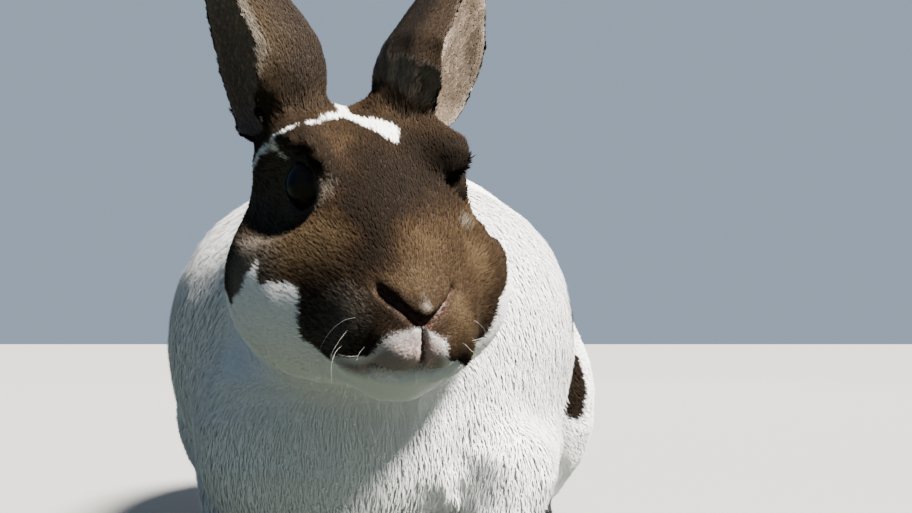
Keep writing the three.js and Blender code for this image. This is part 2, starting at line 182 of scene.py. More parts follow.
# %% Camera
CAMERA_AHEAD, CAMERA_SIDE, CAMERA_HEIGHT, CAMERA_TILT = 230 * MM, 34.7 * MM, 93.9 * MM, 5.57
camera = new_object("camera", bpy.data.cameras.new("camera"))
camera.data.lens = 35
camera.data.sensor_width = 36
camera.data.clip_start = 0.01
camera.location = (CAMERA_SIDE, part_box("head")[0].y - CAMERA_AHEAD, CAMERA_HEIGHT)
camera.rotation_euler = (math.radians(90 + CAMERA_TILT), 0, 0)
bpy.context.scene.camera = camera
print("camera at", [round(v, 3) for v in camera.location])

# %% [markdown]
# The key is a sun with soft edges, high on her left. A wide cool lamp fills her right side, a small one behind lifts
# her outline, and the surroundings give the blue of an open sky to the shadows. The floor is a stage piece, so it is
# not part of the rabbit. It looks pale to the camera but throws little light back up, as lawn does.

# %% Floor and lights
FLOOR_HALF, FLOOR_SEEN, FLOOR_BOUNCE = 60.0, (0.27, 0.27, 0.257), (0.028, 0.034, 0.026)
SKY_LIGHT, SKY_STRENGTH, SKY_SEEN = (0.31, 0.54, 0.94), 0.26, (0.34, 0.42, 0.53)
BODY_MIDDLE, SUN_PLACE = (0, 0, 0.1), (1.0, -0.62, 1.62)
floor_mesh = bpy.data.meshes.new("floor")
floor_mesh.from_pydata([(x * FLOOR_HALF, y * FLOOR_HALF, 0) for x, y in ((-1, -1), (1, -1), (1, 1), (-1, 1))], [],
                       [(0, 1, 2, 3)])
floor = new_object("floor", floor_mesh)
floor_paint, nodes, shader = new_paint("pale floor", 0.9, 0.1)
to_camera = nodes.add("ShaderNodeLightPath").outputs["Is Camera Ray"]
nodes.plug(shader["Base Color"], nodes.mix(to_camera, FLOOR_BOUNCE, FLOOR_SEEN))
floor_mesh.materials.append(floor_paint)


def lamp(name, place, size, power, colour, kind="AREA"):
    data = bpy.data.lights.new(name, kind)
    if kind == "SUN":
        data.angle = math.radians(size)
    else:
        data.size = size
    data.energy = power
    data.color = colour
    light = new_object(name, data)
    light.location = place
    light.rotation_euler = (Vector(BODY_MIDDLE) - Vector(place)).to_track_quat("-Z", "Y").to_euler()


lamp("key", SUN_PLACE, 13, 33, (1.0, 0.965, 0.90), "SUN")
lamp("fill", (-1.6, -1.3, 0.7), 1.6, 1.2, (0.80, 0.88, 1.0))
lamp("rim", (0.2, 1.7, 1.2), 0.8, 14, (1.0, 0.98, 0.95))
world = bpy.data.worlds.new("surroundings")
world.use_nodes = True
nodes, ready = Nodes(world.node_tree), world.node_tree.nodes
nodes.plug(ready["Background"].inputs["Color"], SKY_LIGHT)
nodes.plug(ready["Background"].inputs["Strength"], SKY_STRENGTH)
seen = nodes.add("ShaderNodeBackground", {"Color": SKY_SEEN})
either = nodes.add("ShaderNodeMixShader", {0: nodes.add("ShaderNodeLightPath").outputs["Is Camera Ray"],
                                           1: ready["Background"].outputs[0], 2: seen.outputs[0]})
nodes.plug(ready["World Output"].inputs[0], either.outputs[0])
bpy.context.scene.world = world

# %% [markdown]
# Everything on the head is measured in the head's own frame: x to her left, y back from the nose tip along the skull
# and z up, in millimetres. The eyes fix where it is. Each ear has a frame too, with z to its tip and y out of its
# back, so that its hollow and its rim can be found.

# %% Head and ear frames
HEAD_YAW, HEAD_PITCH, HEAD_ROLL = 20, 28, 2
EYE_SIDE, EYE_BACK, EYE_UP, EYE_RADIUS = 17.6, 59, 14.5, 10
EAR_LENGTH, EAR_RADIUS, EAR_WIDEST, EAR_BOW = 98, 23.5, 0.26, 6
EAR_ROOT = {side: Vector((side * 15, 88, 22)) for side in (1, -1)}
EAR_TURNS = {1: (31, 0, 40), -1: (35, 8, 63)}
EAR_FOOT_BEND, EAR_FOOT_SHARE = {1: (-6, 7), -1: (0, 0)}, 0.45


def turn(x=0, y=0, z=0):
    return (Matrix.Rotation(math.radians(z), 3, "Z") @ Matrix.Rotation(math.radians(x), 3, "X")
            @ Matrix.Rotation(math.radians(y), 3, "Y"))


head_turn = turn(z=HEAD_YAW) @ turn(x=HEAD_PITCH) @ turn(y=-HEAD_ROLL)
eyes = {side: sum(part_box(node), Vector()) / 2 for side, node in ((1, "eye_left"), (-1, "eye_right"))}
nose_tip = (eyes[1] + eyes[-1]) / 2 - head_turn @ Vector((0, EYE_BACK, EYE_UP)) * MM


def to_frame(points, origin=nose_tip, rotation=head_turn):
    """Points in metres, as millimetres in a frame."""
    return (points - np.array(origin)) @ np.array(rotation) / MM


def from_frame(points, origin=nose_tip, rotation=head_turn):
    return np.array(points) @ np.array(rotation).T * MM + np.array(origin)


ear_frames = {}
for side, (spread, lean, opens) in EAR_TURNS.items():
    rotation = head_turn @ turn(y=side * spread) @ turn(x=-lean - HEAD_PITCH) @ turn(z=side * opens)
    ear_frames[side] = (nose_tip + head_turn @ EAR_ROOT[side] * MM, rotation)
print("nose tip", [round(v, 4) for v in nose_tip])

# %% [markdown]
# The skin starts as a copy of every flesh solid and both eyes, each grown by a hair's breadth so that the thin cuts
# between them close. A voxel remesh wraps them all in one closed surface. Remeshing was chosen over a boolean join
# because it leaves even quads, which the folds and the coat both need.

# %% One surface over all the flesh
FLESH = [name for name in frame["nodes"] if not name.startswith(("claw", "eye"))]
PARTS = FLESH + ["eye_left", "eye_right"]
GROWTH, EAR_GROWTH = 0.5, 1.0
VOXEL = 1.5 * MM


def merged_copy(node):
    copy = bmesh.new()
    copy.from_mesh(frame["nodes"][node].data)
    bmesh.ops.remove_doubles(copy, verts=copy.verts, dist=1e-6)
    bmesh.ops.recalc_face_normals(copy, faces=copy.faces)
    growth = EAR_GROWTH if node.startswith("ear") else GROWTH
    for vertex in copy.verts:
        vertex.co += vertex.normal * growth * MM
    mesh = bpy.data.meshes.new(node + "_copy")
    copy.to_mesh(mesh)
    copy.free()
    return mesh


def column_of(rows, name, kind=float, width=3):
    values = np.empty(len(rows) * width, kind)
    rows.foreach_get(name, values)
    return values.reshape(-1, width)


def arrays_of(mesh):
    return column_of(mesh.vertices, "co")


joined_points, joined_faces, face_owner = [], [], []
for owner, node in enumerate(PARTS):
    part = merged_copy(node)
    start = sum(len(p) for p in joined_points)
    joined_points.append(arrays_of(part))
    joined_faces += [[start + v for v in polygon.vertices] for polygon in part.polygons]
    face_owner += [owner] * len(part.polygons)
    bpy.data.meshes.remove(part)
joined_points = np.concatenate(joined_points)
flesh_mesh = bpy.data.meshes.new("flesh")
flesh_mesh.from_pydata(joined_points.tolist(), [], joined_faces)
flesh = new_object("flesh", flesh_mesh)
remesh = flesh.modifiers.new("one surface", "REMESH")
remesh.mode = "VOXEL"
remesh.voxel_size = VOXEL
skin_mesh = finished_mesh(flesh)
skin_mesh.name = "skin"
bpy.data.objects.remove(flesh)
print("one surface:", len(skin_mesh.vertices), "vertices")

# %% [markdown]
# Each point of the skin remembers which solid it came from, because the coat is short on the face and ears and deep
# on the body.

# %% Which part each point belongs to
owner_tree = BVHTree.FromPolygons(joined_points.tolist(), joined_faces)


def owners(points):
    found = [face_owner[owner_tree.find_nearest(Vector(p))[2]] for p in points]
    return np.array(found)


def is_part(*starts):
    """1 for each point of the skin that came from the named parts, else 0."""
    return np.isin(skin_owner, [i for i, name in enumerate(PARTS) if name.startswith(starts)]).astype(float)


skin_owner = owners(arrays_of(skin_mesh))
print("points on the head and ears:", int(is_part("head", "ear", "eye").sum()))

# %% [markdown]
# The solids are faceted, so the surface is relaxed: each point moves towards the middle of its neighbours and then
# part of the way back, which takes out the facets and keeps the volume. The body takes many rounds, the head and the
# thin ears only a few. Then every point sinks by the depth of the coat at that place, so that the tips of the hair
# come out where the solids end.

# %% Relax and sink the skin
RELAX_STEPS = (0.55, -0.57)


def neighbour_mean(values):
    """The mean over the neighbours of each point of the skin, for one column of numbers or several."""
    flat = values.reshape(len(values), -1)
    both = np.concatenate([skin_edges, skin_edges[:, ::-1]])
    count = np.bincount(both[:, 0], minlength=len(values)).clip(1)
    sums = [np.bincount(both[:, 0], flat[both[:, 1], k], minlength=len(values)) for k in range(flat.shape[1])]
    return (np.array(sums) / count).T.reshape(values.shape)


def spread(values, rounds):
    for _ in range(rounds):
        values = 0.5 * values + 0.5 * neighbour_mean(values)
    return values


def relax(points, strength, rounds):
    for _ in range(rounds):
        for step in RELAX_STEPS:
            points = points + (neighbour_mean(points) - points) * strength[:, None] * step
    return points


def placed_normals():
    """Moves the skin to its latest points, and gives its normals there."""
    skin_mesh.vertices.foreach_set("co", skin_points.ravel())
    skin_mesh.update()
    return column_of(skin_mesh.vertices, "normal")


def by_part(body, head, ear, foot):
    """One number for the body and others for the head, the ears and the feet."""
    return body + (head - body) * on_head + (ear - body) * on_ear + (foot - body) * on_foot


BODY_ROUNDS, FINE_ROUNDS, CREASE_ROUNDS = 170, 12, 40
ELBOW_CREASES, CREASE_REACH = [(34, -90, 47), (-34, -90, 47)], 15
NOSE_MIDDLE = (1, 2, -6)
skin_edges = column_of(skin_mesh.edges, "vertices", int, 2)
skin_points = arrays_of(skin_mesh)
on_ear = is_part("ear")
on_head = is_part("head", "eye")
on_foot = is_part("forefoot", "hind_foot")
softness = spread(1 - 0.75 * on_head - 0.35 * on_ear - 0.6 * on_foot, 12).clip(0, 1)
skin_points = relax(skin_points, np.ones(len(skin_points)), FINE_ROUNDS)
skin_points = relax(skin_points, softness, BODY_ROUNDS)
for crease in ELBOW_CREASES:
    share = np.exp(-(gap_to(crease, skin_points / MM) / CREASE_REACH) ** 2)
    skin_points += (spread(skin_points, CREASE_ROUNDS) - skin_points) * share[:, None]
coat_depth = spread(by_part(2.7, head=1.7, ear=0.8, foot=1.6), 30)
growth = GROWTH + (EAR_GROWTH - GROWTH) * on_ear
eye_gap = np.min([gap_to(e, skin_points) for e in eyes.values()], axis=0) / MM
coat_depth *= np.interp(eye_gap, [EYE_RADIUS + 1, EYE_RADIUS + 8], [0.1, 1])
nose_gap = gap_to(NOSE_MIDDLE, to_frame(skin_points))
coat_depth *= np.interp(nose_gap, [9, 26], [0.35, 1])

# %% [markdown]
# A thin part, such as an ear or a brow, must not be sunk through itself. A ray sent inwards from each point measures
# how thick the part is there, and no point sinks more than a third of that.

# %% Thickness and sinking
THICKEST = 40 * MM
RAY_START = 0.05 * MM


def skin_thickness():
    tree = BVHTree.FromPolygons(skin_points.tolist(), [list(p.vertices) for p in skin_mesh.polygons])
    found = np.full(len(skin_points), THICKEST)
    for i, (point, normal) in enumerate(zip(skin_points.tolist(), placed_normals().tolist())):
        inward = -Vector(normal)
        distance = tree.ray_cast(Vector(point) + inward * RAY_START, inward, THICKEST)[3]
        if distance is not None:
            found[i] = distance
    return found / MM


SINK_ROUNDS, SINK_SHARE = 6, 0.33
sink = spread(np.minimum(growth + coat_depth, SINK_SHARE * skin_thickness()), 6)
for _ in range(SINK_ROUNDS):
    smooth_normals = unit(spread(placed_normals(), 3))
    skin_points = skin_points - smooth_normals * (sink / SINK_ROUNDS * MM)[:, None]
    skin_points = relax(skin_points, softness, 2)
near_brow = np.interp(eye_gap, [EYE_RADIUS + 6, EYE_RADIUS + 14], [1, 0])
skin_points = relax(skin_points, near_brow, FINE_ROUNDS)
placed_normals()
print("sunk, mm:", sink.min().round(2), "to", sink.max().round(2))

# %% [markdown]
# The body is smooth now and hides under deep fur, so it needs far fewer faces than the face does. A decimate
# modifier with a vertex group thins the body only. Then the faces round the eyes, nose and lips are split once, to
# carry the folds.

# %% Thin the body, split the face
KEPT_SHARE = 0.42
EYE_SPAN, NOSE_SPAN = 15, 24


def near_features(points):
    eye = np.min([gap_to(e, points) for e in eyes.values()], axis=0) / MM
    return (eye < EYE_SPAN) | (gap_to((0, 4, -7), to_frame(points)) < NOSE_SPAN)


def refine(mesh, wanted):
    """Splits every edge whose two ends are wanted, and leaves only triangles."""
    work = bmesh.new()
    work.from_mesh(mesh)
    work.verts.ensure_lookup_table()
    edges = [e for e in work.edges if wanted[e.verts[0].index] and wanted[e.verts[1].index]]
    bmesh.ops.subdivide_edges(work, edges=edges, cuts=1, use_grid_fill=True, smooth=0)
    bmesh.ops.triangulate(work, faces=work.faces[:])
    work.to_mesh(mesh)
    work.free()


skin = new_object("skin", skin_mesh)
body_group = skin.vertex_groups.new(name="body")
plain = (on_head + on_ear + on_foot == 0) & ~near_features(skin_points)
body_group.add(np.flatnonzero(plain).tolist(), 1, "REPLACE")
thin = skin.modifiers.new("thin the body", "DECIMATE")
thin.ratio = KEPT_SHARE
thin.vertex_group = body_group.name
thinned = finished_mesh(skin)
skin.modifiers.clear()
skin.vertex_groups.clear()
skin.data = thinned
bpy.data.meshes.remove(skin_mesh)
skin_mesh = thinned
print("thinned skin:", len(skin_mesh.vertices), "vertices", len(skin_mesh.polygons), "faces")
refine(skin_mesh, near_features(arrays_of(skin_mesh)))
skin_mesh.name = "skin"
skin_edges = column_of(skin_mesh.edges, "vertices", int, 2)
skin_points = arrays_of(skin_mesh)
skin_owner = owners(skin_points)
print("split skin:", len(skin_points), "vertices", len(skin_mesh.polygons), "faces")

# %% [markdown]
# The small forms of the face are pushed into the skin by rules, all in millimetres in the head's own frame: x to
# her left, y towards the back of the skull, z up, from the tip of the nose. Lids come first. Inside the opening the
# skin dives under the eyeball, and round it the skin rises into a soft rim that clears the eyeball.

# %% Eyelids
LID_HALF_LENGTH, LID_AXIS_FORWARD = {1: 39, -1: 51}, {1: -5, -1: 17}
LID_HALF_HEIGHT, UPPER_LID_HEIGHT = 49, {1: 49, -1: 60}
LID_CLEARANCE, LID_RIM, LID_UNDER, LID_EDGE = 0.75, 0.75, 2.0, 4.0


def rise(value, low, high):
    t = ((value - low) / (high - low)).clip(0, 1)
    return t * t * (3 - 2 * t)


def bell(value, width):
    return np.exp(-(value / width) ** 2)


def eye_frame(side):
    """Middle of the eye, and its axis, forward and up directions, in the head's frame."""
    middle = np.array((side * EYE_SIDE, EYE_BACK, EYE_UP))
    angle = math.radians(LID_AXIS_FORWARD[side])
    axis = np.array((side * math.cos(angle), -math.sin(angle), 0.06))
    axis /= np.linalg.norm(axis)
    up = np.array((0, 0.25, 1.0))
    up -= axis * up.dot(axis)
    up /= np.linalg.norm(up)
    forward = np.cross(up, axis) * side
    return middle, axis, forward * np.sign(-forward[1]), up


def lid_place(head, side):
    """Distance from the eye's middle, and degrees outside the lid's edge (negative inside the opening)."""
    middle, axis, forward, up = eye_frame(side)
    offset = head - middle
    reach = lengths(offset).clip(1e-6)
    along, ahead, above = offset @ axis / reach, offset @ forward / reach, offset @ up / reach
    away = np.degrees(np.arccos(along.clip(-1, 1)))
    bearing = np.arctan2(above, ahead)
    half_height = np.where(bearing > 0, UPPER_LID_HEIGHT[side], LID_HALF_HEIGHT)
    half = 1 / np.sqrt((np.cos(bearing) / LID_HALF_LENGTH[side]) ** 2 + (np.sin(bearing) / half_height) ** 2)
    corner = np.cos(bearing + 0.35).clip(0, 1) ** 14
    back_corner = np.cos(bearing - math.pi + 0.1).clip(0, 1) ** 14
    return reach, away - half - 7 * corner - 5 * back_corner, offset / reach[:, None]


head_points = to_frame(skin_points)
for side in (1, -1):
    middle = eye_frame(side)[0]
    reach, outside, outward = lid_place(head_points, side)
    is_near = rise(-reach, -EYE_RADIUS - 9, -EYE_RADIUS - 5) * rise(-outside, -50, -25)
    rim = np.maximum(reach, EYE_RADIUS + LID_CLEARANCE) + LID_RIM * bell(outside - 9, 7)
    target = EYE_RADIUS - LID_UNDER + (rim - EYE_RADIUS + LID_UNDER) * rise(outside, -LID_EDGE, LID_EDGE)
    moved = reach + (target - reach) * is_near
    head_points = middle + outward * moved[:, None]
skin_points = from_frame(head_points)
skin_normals = placed_normals()
print("lids shaped")

# %% [markdown]
# The nose is a pair of slits under a soft fold, shaped like the arms of a Y. Its stem parts two round upper lips, and
# the mouth is a dark line under them. Each groove is a line seen from the front, with a depth and a width, and each
# swelling is a round bump. They move the skin along its own normals, which keeps the faces from folding.

# %% Nose and lips
GROOVES = [
    # depth, width, points (x, z): two nostril slits, the stem under them, the mouth
    (3.0, 1.15, [(-9.5, 2.6), (-6.5, 1.2), (-3.0, -1.0), (-0.6, -2.6)]),
    (3.0, 1.15, [(11.0, 2.2), (8.4, 0.2), (4.8, -1.8), (2.4, -2.9)]),
    (2.1, 0.9, [(0.9, -3.4), (1.2, -7.0), (1.7, -12.0), (1.8, -17.5)]),
    (4.2, 1.6, [(-11, -17.0), (-6.5, -19.2), (-1.5, -19.2), (1.8, -18.2), (5.5, -19.3), (10, -19.2), (13.5, -17.0)]),
]
SWELLINGS = [
    # height, radius, middle (x, z)
    (1.9, 4.8, (-4.2, -11.5)), (1.9, 4.6, (6.4, -11.5)),
    (1.1, 2.6, (-5.6, 3.8)), (1.1, 2.6, (7.4, 3.4)), (0.9, 2.6, (0.9, 0.6)),
    (1.0, 6.5, (-10.5, -6.0)), (1.0, 6.5, (12.5, -6.0)), (0.8, 5.0, (1.6, -24.5)),
]
TEMPLE_PADS = [(2.2, 8, (25, 45, 20)), (2.4, 8, (25, 41, 13)), (1.4, 6, (25.5, 43.5, 16))]
FRONT_OF_FACE = 17


def distance_to_line(points, corners):
    """How far each flat point is from a line of joined corners."""
    nearest = np.full(len(points), np.inf)
    for a, b in zip(np.array(corners[:-1]), np.array(corners[1:])):
        t = ((points - a) @ (b - a) / (b - a).dot(b - a)).clip(0, 1)
        nearest = np.minimum(nearest, lengths(points - a - t[:, None] * (b - a)))
    return nearest


from_front = head_points[:, [0, 2]]
at_front = rise(-head_points[:, 1], -FRONT_OF_FACE, -FRONT_OF_FACE + 6)
push = sum(h * bell(gap_to(m, from_front), r) for h, r, m in SWELLINGS)
push -= sum(d * bell(distance_to_line(from_front, line), w) for d, w, line in GROOVES)
push = push * at_front + sum(h * bell(gap_to(m, head_points), r) for h, r, m in TEMPLE_PADS)
skin_points = skin_points + unit(spread(skin_normals, 6)) * (push * MM)[:, None]
skin_normals = placed_normals()
head_points = to_frame(skin_points)
print("nose and lips shaped")

# %% [markdown]
# Fur has a lie, a length and a thickness everywhere, and this coat has markings too. All of them are painted on the
# points of the skin as attributes, by rules in the head's and the ears' own frames, so that the skin's material and
# the tufts that grow from it read the same numbers. First come the places that the rules need.

# %% Places on the head and ears
skin_normals = placed_normals()
on_ear, on_head = is_part("ear"), is_part("head", "eye")
on_foot = is_part("forefoot", "hind_foot")
on_leg = is_part("foreleg")
AROUND_AXIS = -10
round_head = np.degrees(np.arctan2(head_points[:, 0], head_points[:, 2] - AROUND_AXIS))
back_from_nose = head_points[:, 1]


def grain(points, size, seed, depth=2):
    """Even noise between -1 and 1, its lumps about `size` millimetres across."""
    shifted = points / (size * MM) + seed * 17.3
    return np.array([noise.fractal(Vector(p), 1.0, 2.0, depth) for p in shifted.tolist()])


# How far round an ear closes, in degrees: at its root, at its widest, where that is, and a gain above it.
TIP_WRAP, USUAL_WRAP = 58, (168, 108, EAR_WIDEST, 0)
EAR_CLOSED = {1: (150, 98, 0.2, 10), -1: USUAL_WRAP, "usual": USUAL_WRAP}


class EarPlace:
    """Where each skin point lies along and round one ear."""

    def __init__(self, side):
        origin, rotation = ear_frames[side]
        local = to_frame(skin_points, origin, rotation)
        self.up = local[:, 2] / EAR_LENGTH
        t = self.up.clip(0, 1)
        swell = 0.5 + 0.5 * rise(t, 0, EAR_WIDEST)
        taper = 1 - 0.36 * rise(t, 0.2, 0.75)
        self.radius = EAR_RADIUS * swell * taper * np.sqrt((1 - t ** 6).clip(0)) + 0.6
        bend = (1 - t / EAR_FOOT_SHARE).clip(0) ** 2
        middle_y = EAR_BOW * np.sin(np.pi * t) - 0.4 * self.radius + EAR_FOOT_BEND[side][1] * bend
        across, depth = local[:, 0] - EAR_FOOT_BEND[side][0] * bend, local[:, 1] - middle_y
        self.bearing = np.degrees(np.arctan2(across, depth))
        outer, inner = self.wrap_by(t, EAR_CLOSED[side]), self.wrap_by(t, EAR_CLOSED["usual"])
        self.wrap = np.where(self.bearing * side > 0, outer, inner)
        normals = skin_normals @ np.array(rotation)
        reach = np.hypot(across, depth).clip(1e-6)
        self.outward = (normals[:, 0] * across + normals[:, 1] * depth) / reach
        self.side = is_part("ear_left" if side == 1 else "ear_right")
        self.axis = np.array(rotation @ Vector((0, 0, 1)))

    def wrap_by(self, t, closing):
        root, widest, at, gain = closing
        closed = root + (widest - root) * rise(t, 0, at) + gain * rise(t, 0.3, 0.5)
        return closed + (TIP_WRAP - closed) * rise(t, 0.5, 1)


ears = {side: EarPlace(side) for side in (1, -1)}
ear_inside = sum(e.side * rise(-e.outward, 0.0, 0.5) for e in ears.values()).clip(0, 1)
ear_round = sum(e.side * np.abs(e.bearing) / e.wrap for e in ears.values())
ear_rim = rise(ear_round, 0.86, 1.0)
ear_far = ears[1].side * (ears[1].bearing > 0)
ear_front = ears[-1].side * (ears[-1].bearing > 0)
ear_lines = np.stack([ears[1].bearing / 5, ears[1].up * 9, np.zeros(len(skin_points))], axis=1) * MM
bright_line = bell(ears[1].bearing / ears[1].wrap - 0.25, 0.22)
left_dusk = 0.95 - 0.95 * bright_line + 0.3 * grain(ear_lines, 1, 5) + 0.15 * rise(-ears[1].up, -0.45, -0.25)
# Inside the left ear the dusky share follows its olive hair and bright streak. Inside the right ear it is 0.6 all over:
# partly its olive hair, and partly painted shade for the deep hollow of that ear.
ear_dusk = ear_inside * (ears[1].side * left_dusk.clip(0, 1) + 0.6 * ears[-1].side)
ear_height = sum(e.side * e.up.clip(0, 1) for e in ears.values()).clip(0, 1)
root_gap = np.min([gap_to(root, head_points) for root in EAR_ROOT.values()], axis=0)
lid_out = {side: lid_place(head_points, side) for side in (1, -1)}
print("inside the ears:", int(ear_inside.sum()), "points")

# %% [markdown]
# The brown mask of the face is one closed outline, drawn in a flat map of the head: degrees round the muzzle's long
# axis against millimetres back from the nose. The distance to the outline, with a little noise, gives an edge that is
# soft and uneven like the edge of real marking. Ears and the flank spots join the same mask.

# %% Brown markings
DEGREE_MM = 0.5
MASK_OUTLINE = [
    (-103, -12), (-107, 3.5), (-119, 14), (-106, 21), (-83, 22.5), (-78, 24.5), (-83, 31), (-87, 33), (-77, 37),
    (-93, 39), (-100, 45), (-102, 58), (-92, 73), (-76, 85), (-66, 83.5), (-57.5, 80), (-49, 75.5), (-41, 67.2),
    (-34, 60.5), (-27.5, 65), (-20, 71.7), (-12, 77), (-8, 73.5), (-3.2, 69), (3.3, 63.8), (8.8, 61.5), (11, 68),
    (14, 76), (24, 83), (48, 88), (78, 83), (92, 67), (89, 50), (80, 40), (90, 28), (111, 24), (130, 13), (118, 4),
    (108, -12),
]
EAR_BASE_OUTLINE = [(-112, 90), (-92, 84.5), (-74, 88), (-62, 84.5), (-55, 82), (-50, 78.5), (-42, 69.4), (-34.5, 61.8),
                    (-27, 65.8), (-20.5, 75), (-13.4, 80), (-8.5, 112), (-112, 122)]
FLANK_SPOTS = [
    # middle in the model (mm), half sizes (mm)
    ((88, -6, 75), (14, 16, 16)), ((88, -44, 104), (10, 10, 13)), ((-92, 60, 92), (12, 16, 13)),
    ((78, 132, 96), (12, 13, 14)), ((8, 104, 182), (17, 24, 12)), ((-30, 40, 172), (11, 12, 9)),
    ((24, 160, 130), (10, 8, 15)),
]
EDGE_SOFT, EDGE_GRAIN, SPOT_SOFT = 1.3, 1.2, 0.2


def inside_outline(points, corners):
    """True for each flat point that a closed outline goes round."""
    crossings = np.zeros(len(points), int)
    for (ax, ay), (bx, by) in zip(corners, corners[1:] + corners[:1]):
        if ay == by:
            continue
        spans = (points[:, 1] > min(ay, by)) & (points[:, 1] <= max(ay, by))
        crossings += spans & (points[:, 0] < ax + (points[:, 1] - ay) * (bx - ax) / (by - ay))
    return crossings % 2 == 1


def depth_in(points, corners, scale=1.0):
    """How far each flat point is inside a closed outline, negative outside."""
    corners = [(a * scale, b) for a, b in corners]
    return distance_to_line(points, corners + corners[:1]) * np.where(inside_outline(points, corners), 1, -1)


def marked(depth):
    return rise(depth + EDGE_GRAIN * fine_grain, -EDGE_SOFT, EDGE_SOFT)


fine_grain = grain(skin_points, 7, 1)
on_map = np.stack([round_head * DEGREE_MM, back_from_nose], axis=1)
brown = marked(depth_in(on_map, MASK_OUTLINE, DEGREE_MM)) * np.maximum(on_head, is_part("neck"))
near_ear = rise(-root_gap, -34, -28)
ear_foot = marked(depth_in(on_map, EAR_BASE_OUTLINE, DEGREE_MM)) * near_ear
crown_line = np.interp(round_head, [-9, -6, -3, 1, 5, 9, 12, 13.5], [79.5, 78.2, 77, 75.2, 74, 73.2, 72, 69])
ear_foot_left = marked(back_from_nose - crown_line) * rise(round_head, -8, -6) * near_ear
ticked = rise(-round_head, 12, 18) * rise(back_from_nose, 54, 60) * on_head
brown = np.maximum.reduce([brown, on_ear, ear_foot, ear_foot_left, 0.42 * ticked * rise(round_head, -74, -64)])
for middle, half in FLANK_SPOTS:
    reach = lengths((skin_points / MM - np.array(middle)) / np.array(half))
    brown = np.maximum(brown, rise(-reach + 0.22 * fine_grain, -1 - SPOT_SOFT, -1 + SPOT_SOFT))
LIP_OUTLINE = [(0.5, -4.2), (-7, -6.5), (-11.0, -11), (-15, -14.5), (-19, -16.5), (-22, -26), (10, -26), (8.5, -17),
               (7.3, -7.5)]
pale_lip = rise(depth_in(from_front, LIP_OUTLINE) + fine_grain, -2.4, 2.4) * rise(-back_from_nose, -14, -9)
brown *= 1 - pale_lip
lip_tint = pale_lip * rise(from_front[:, 1], -21.5, -17)
print("brown points:", int(brown.sum()))

# %% [markdown]
# Inside the mask the colour drifts: dark on the crown and temples and beside the muzzle, golden down the bridge of
# the nose and on the left cheek, and pale in small patches. Some drifts are painted light and shade: darker fur
# over her right eye for the brow's shadow, and paler, more golden and greyer fur where her right cheek and muzzle lie
# in shade. On the left ear the back is painted darker, and paler where it turns from the sun. The face's drifts are
# soft balls of influence placed on the head. The bare places, where skin shows, are the lid edges and the grooves of
# the nose and mouth.

# %% Tones and bare places
# Most balls are the coat's own marking. Those at (-25, 60, 23) and (-22, 50, 24) are painted shade: they darken the fur
# over her right eye as the brow's shadow. Those at (-21, 29, 10), (-20, 27, 11) and (-30, 33, 6) are golden fur on her
# right cheek, made more golden as painted light that lifts it out of shade.
TONES = [
    # middle in the head (mm), radius (mm), darker (-) or more golden (+)
    ((-2, 52, 26), 13, -0.9), ((20, 50, 29), 11, -0.7), ((25, 52, 17), 11, -0.8), ((-10, 31, 18), 9, -1.5),
    ((3, 39, 22), 10, -0.9), ((10, 62, 28), 10, -0.5), ((-14, 17, 9), 5, -0.4), ((-19, 9, -5), 8, -0.5),
    ((-22, 11, -15), 8, -0.35), ((-27, 19, -15), 8, -0.25), ((-43, 42, -5), 10, -0.7), ((-43, 40, -12), 8, -0.5),
    ((-25, 60, 23), 9, -1.3), ((-22, 50, 24), 6, -0.9), ((-6, 6, 3), 3, -0.5), ((40, 45, -4), 9, -0.6),
    ((30, 62, 28), 9, -0.5), ((30, 24, -20), 8, -0.3), ((-15, 56, 29), 5, 0.6), ((-9, 61, 29), 5, 0.75),
    ((3, 18, 14), 9, 0.9), ((1, 7, 7), 6, 0.7), ((24, 25, 4), 10, 0.9), ((15, 4, -7), 6, 0.9),
    ((-21, 29, 10), 8, 1.0), ((-5, 9, 8), 4, -0.6), ((-6.5, 19, 14), 5, -0.9), ((-11, 13, 8), 5, -0.6),
    ((-3, 27, 19), 6, -0.6), ((9, 30, 19), 5, -0.5), ((-8, 7, 5), 4, 1.2), ((-29, 30, 0), 6, 0.5),
    ((12, 6, 1), 5, 0.9), ((-30, 33, 6), 6, 0.9), ((-20, 27, 11), 6, 0.9),
]
# The small pale balls by the eye and nose are flecks of the coat. The wide ones on her right cheek, on her muzzle and
# beside her right eye are painted light: they lift the dark fur where that side lies in shade.
PALES = [
    # middle in the head (mm), radius (mm), strength
    ((-20, 46, 15), 4.5, 0.22), ((22, 33, 12.5), 2.2, 0.16), ((1.6, -0.4, 1.5), 1.3, 0.32),
    ((1.6, 0.8, 4.5), 1.3, 0.2), ((-17, 9, -13), 3, 0.15), ((-43, 42, -5), 10, 0.22), ((-43, 40, -12), 8, 0.22),
    ((-22, 11, -15), 8, 0.08), ((-19, 9, -5), 7, 0.14), ((-33, 62, 12), 12, 0.24), ((-27, 19, -15), 8, 0.08),
    ((-36, 30, 2), 8, 0.02),
]
# For each groove: how bare it is, and the widths (mm) where bare skin ends and where it is full.
SLIT_WIDTHS = [(1.0, 1.7, 0.8), (1.0, 1.6, 0.7), (0.9, 1.5, 0.5), (1.0, 1.5, 0.6)]


def soft_balls(balls):
    return sum(w * bell(gap_to(m, head_points), r) for m, r, w in balls)


tone = (soft_balls(TONES) + 0.42 * grain(skin_points, 9, 3)).clip(-1, 1) * (1 - on_ear)
# Painted shade: the back of the left ear is 0.75 darker in tone, so that it looks to be in half shade though the sun
# lights it. The golden fur near each ear's margin is the coat's own colour.
tone += on_ear * (0.05 - 0.75 * ears[1].side) + on_ear * (0.75 * rise(ear_round, 0.6, 0.9) * (1 - ear_inside))
grey = 0.6 * spread(on_ear, 8) * (1 - 0.6 * rise(ear_round, 0.6, 0.9))
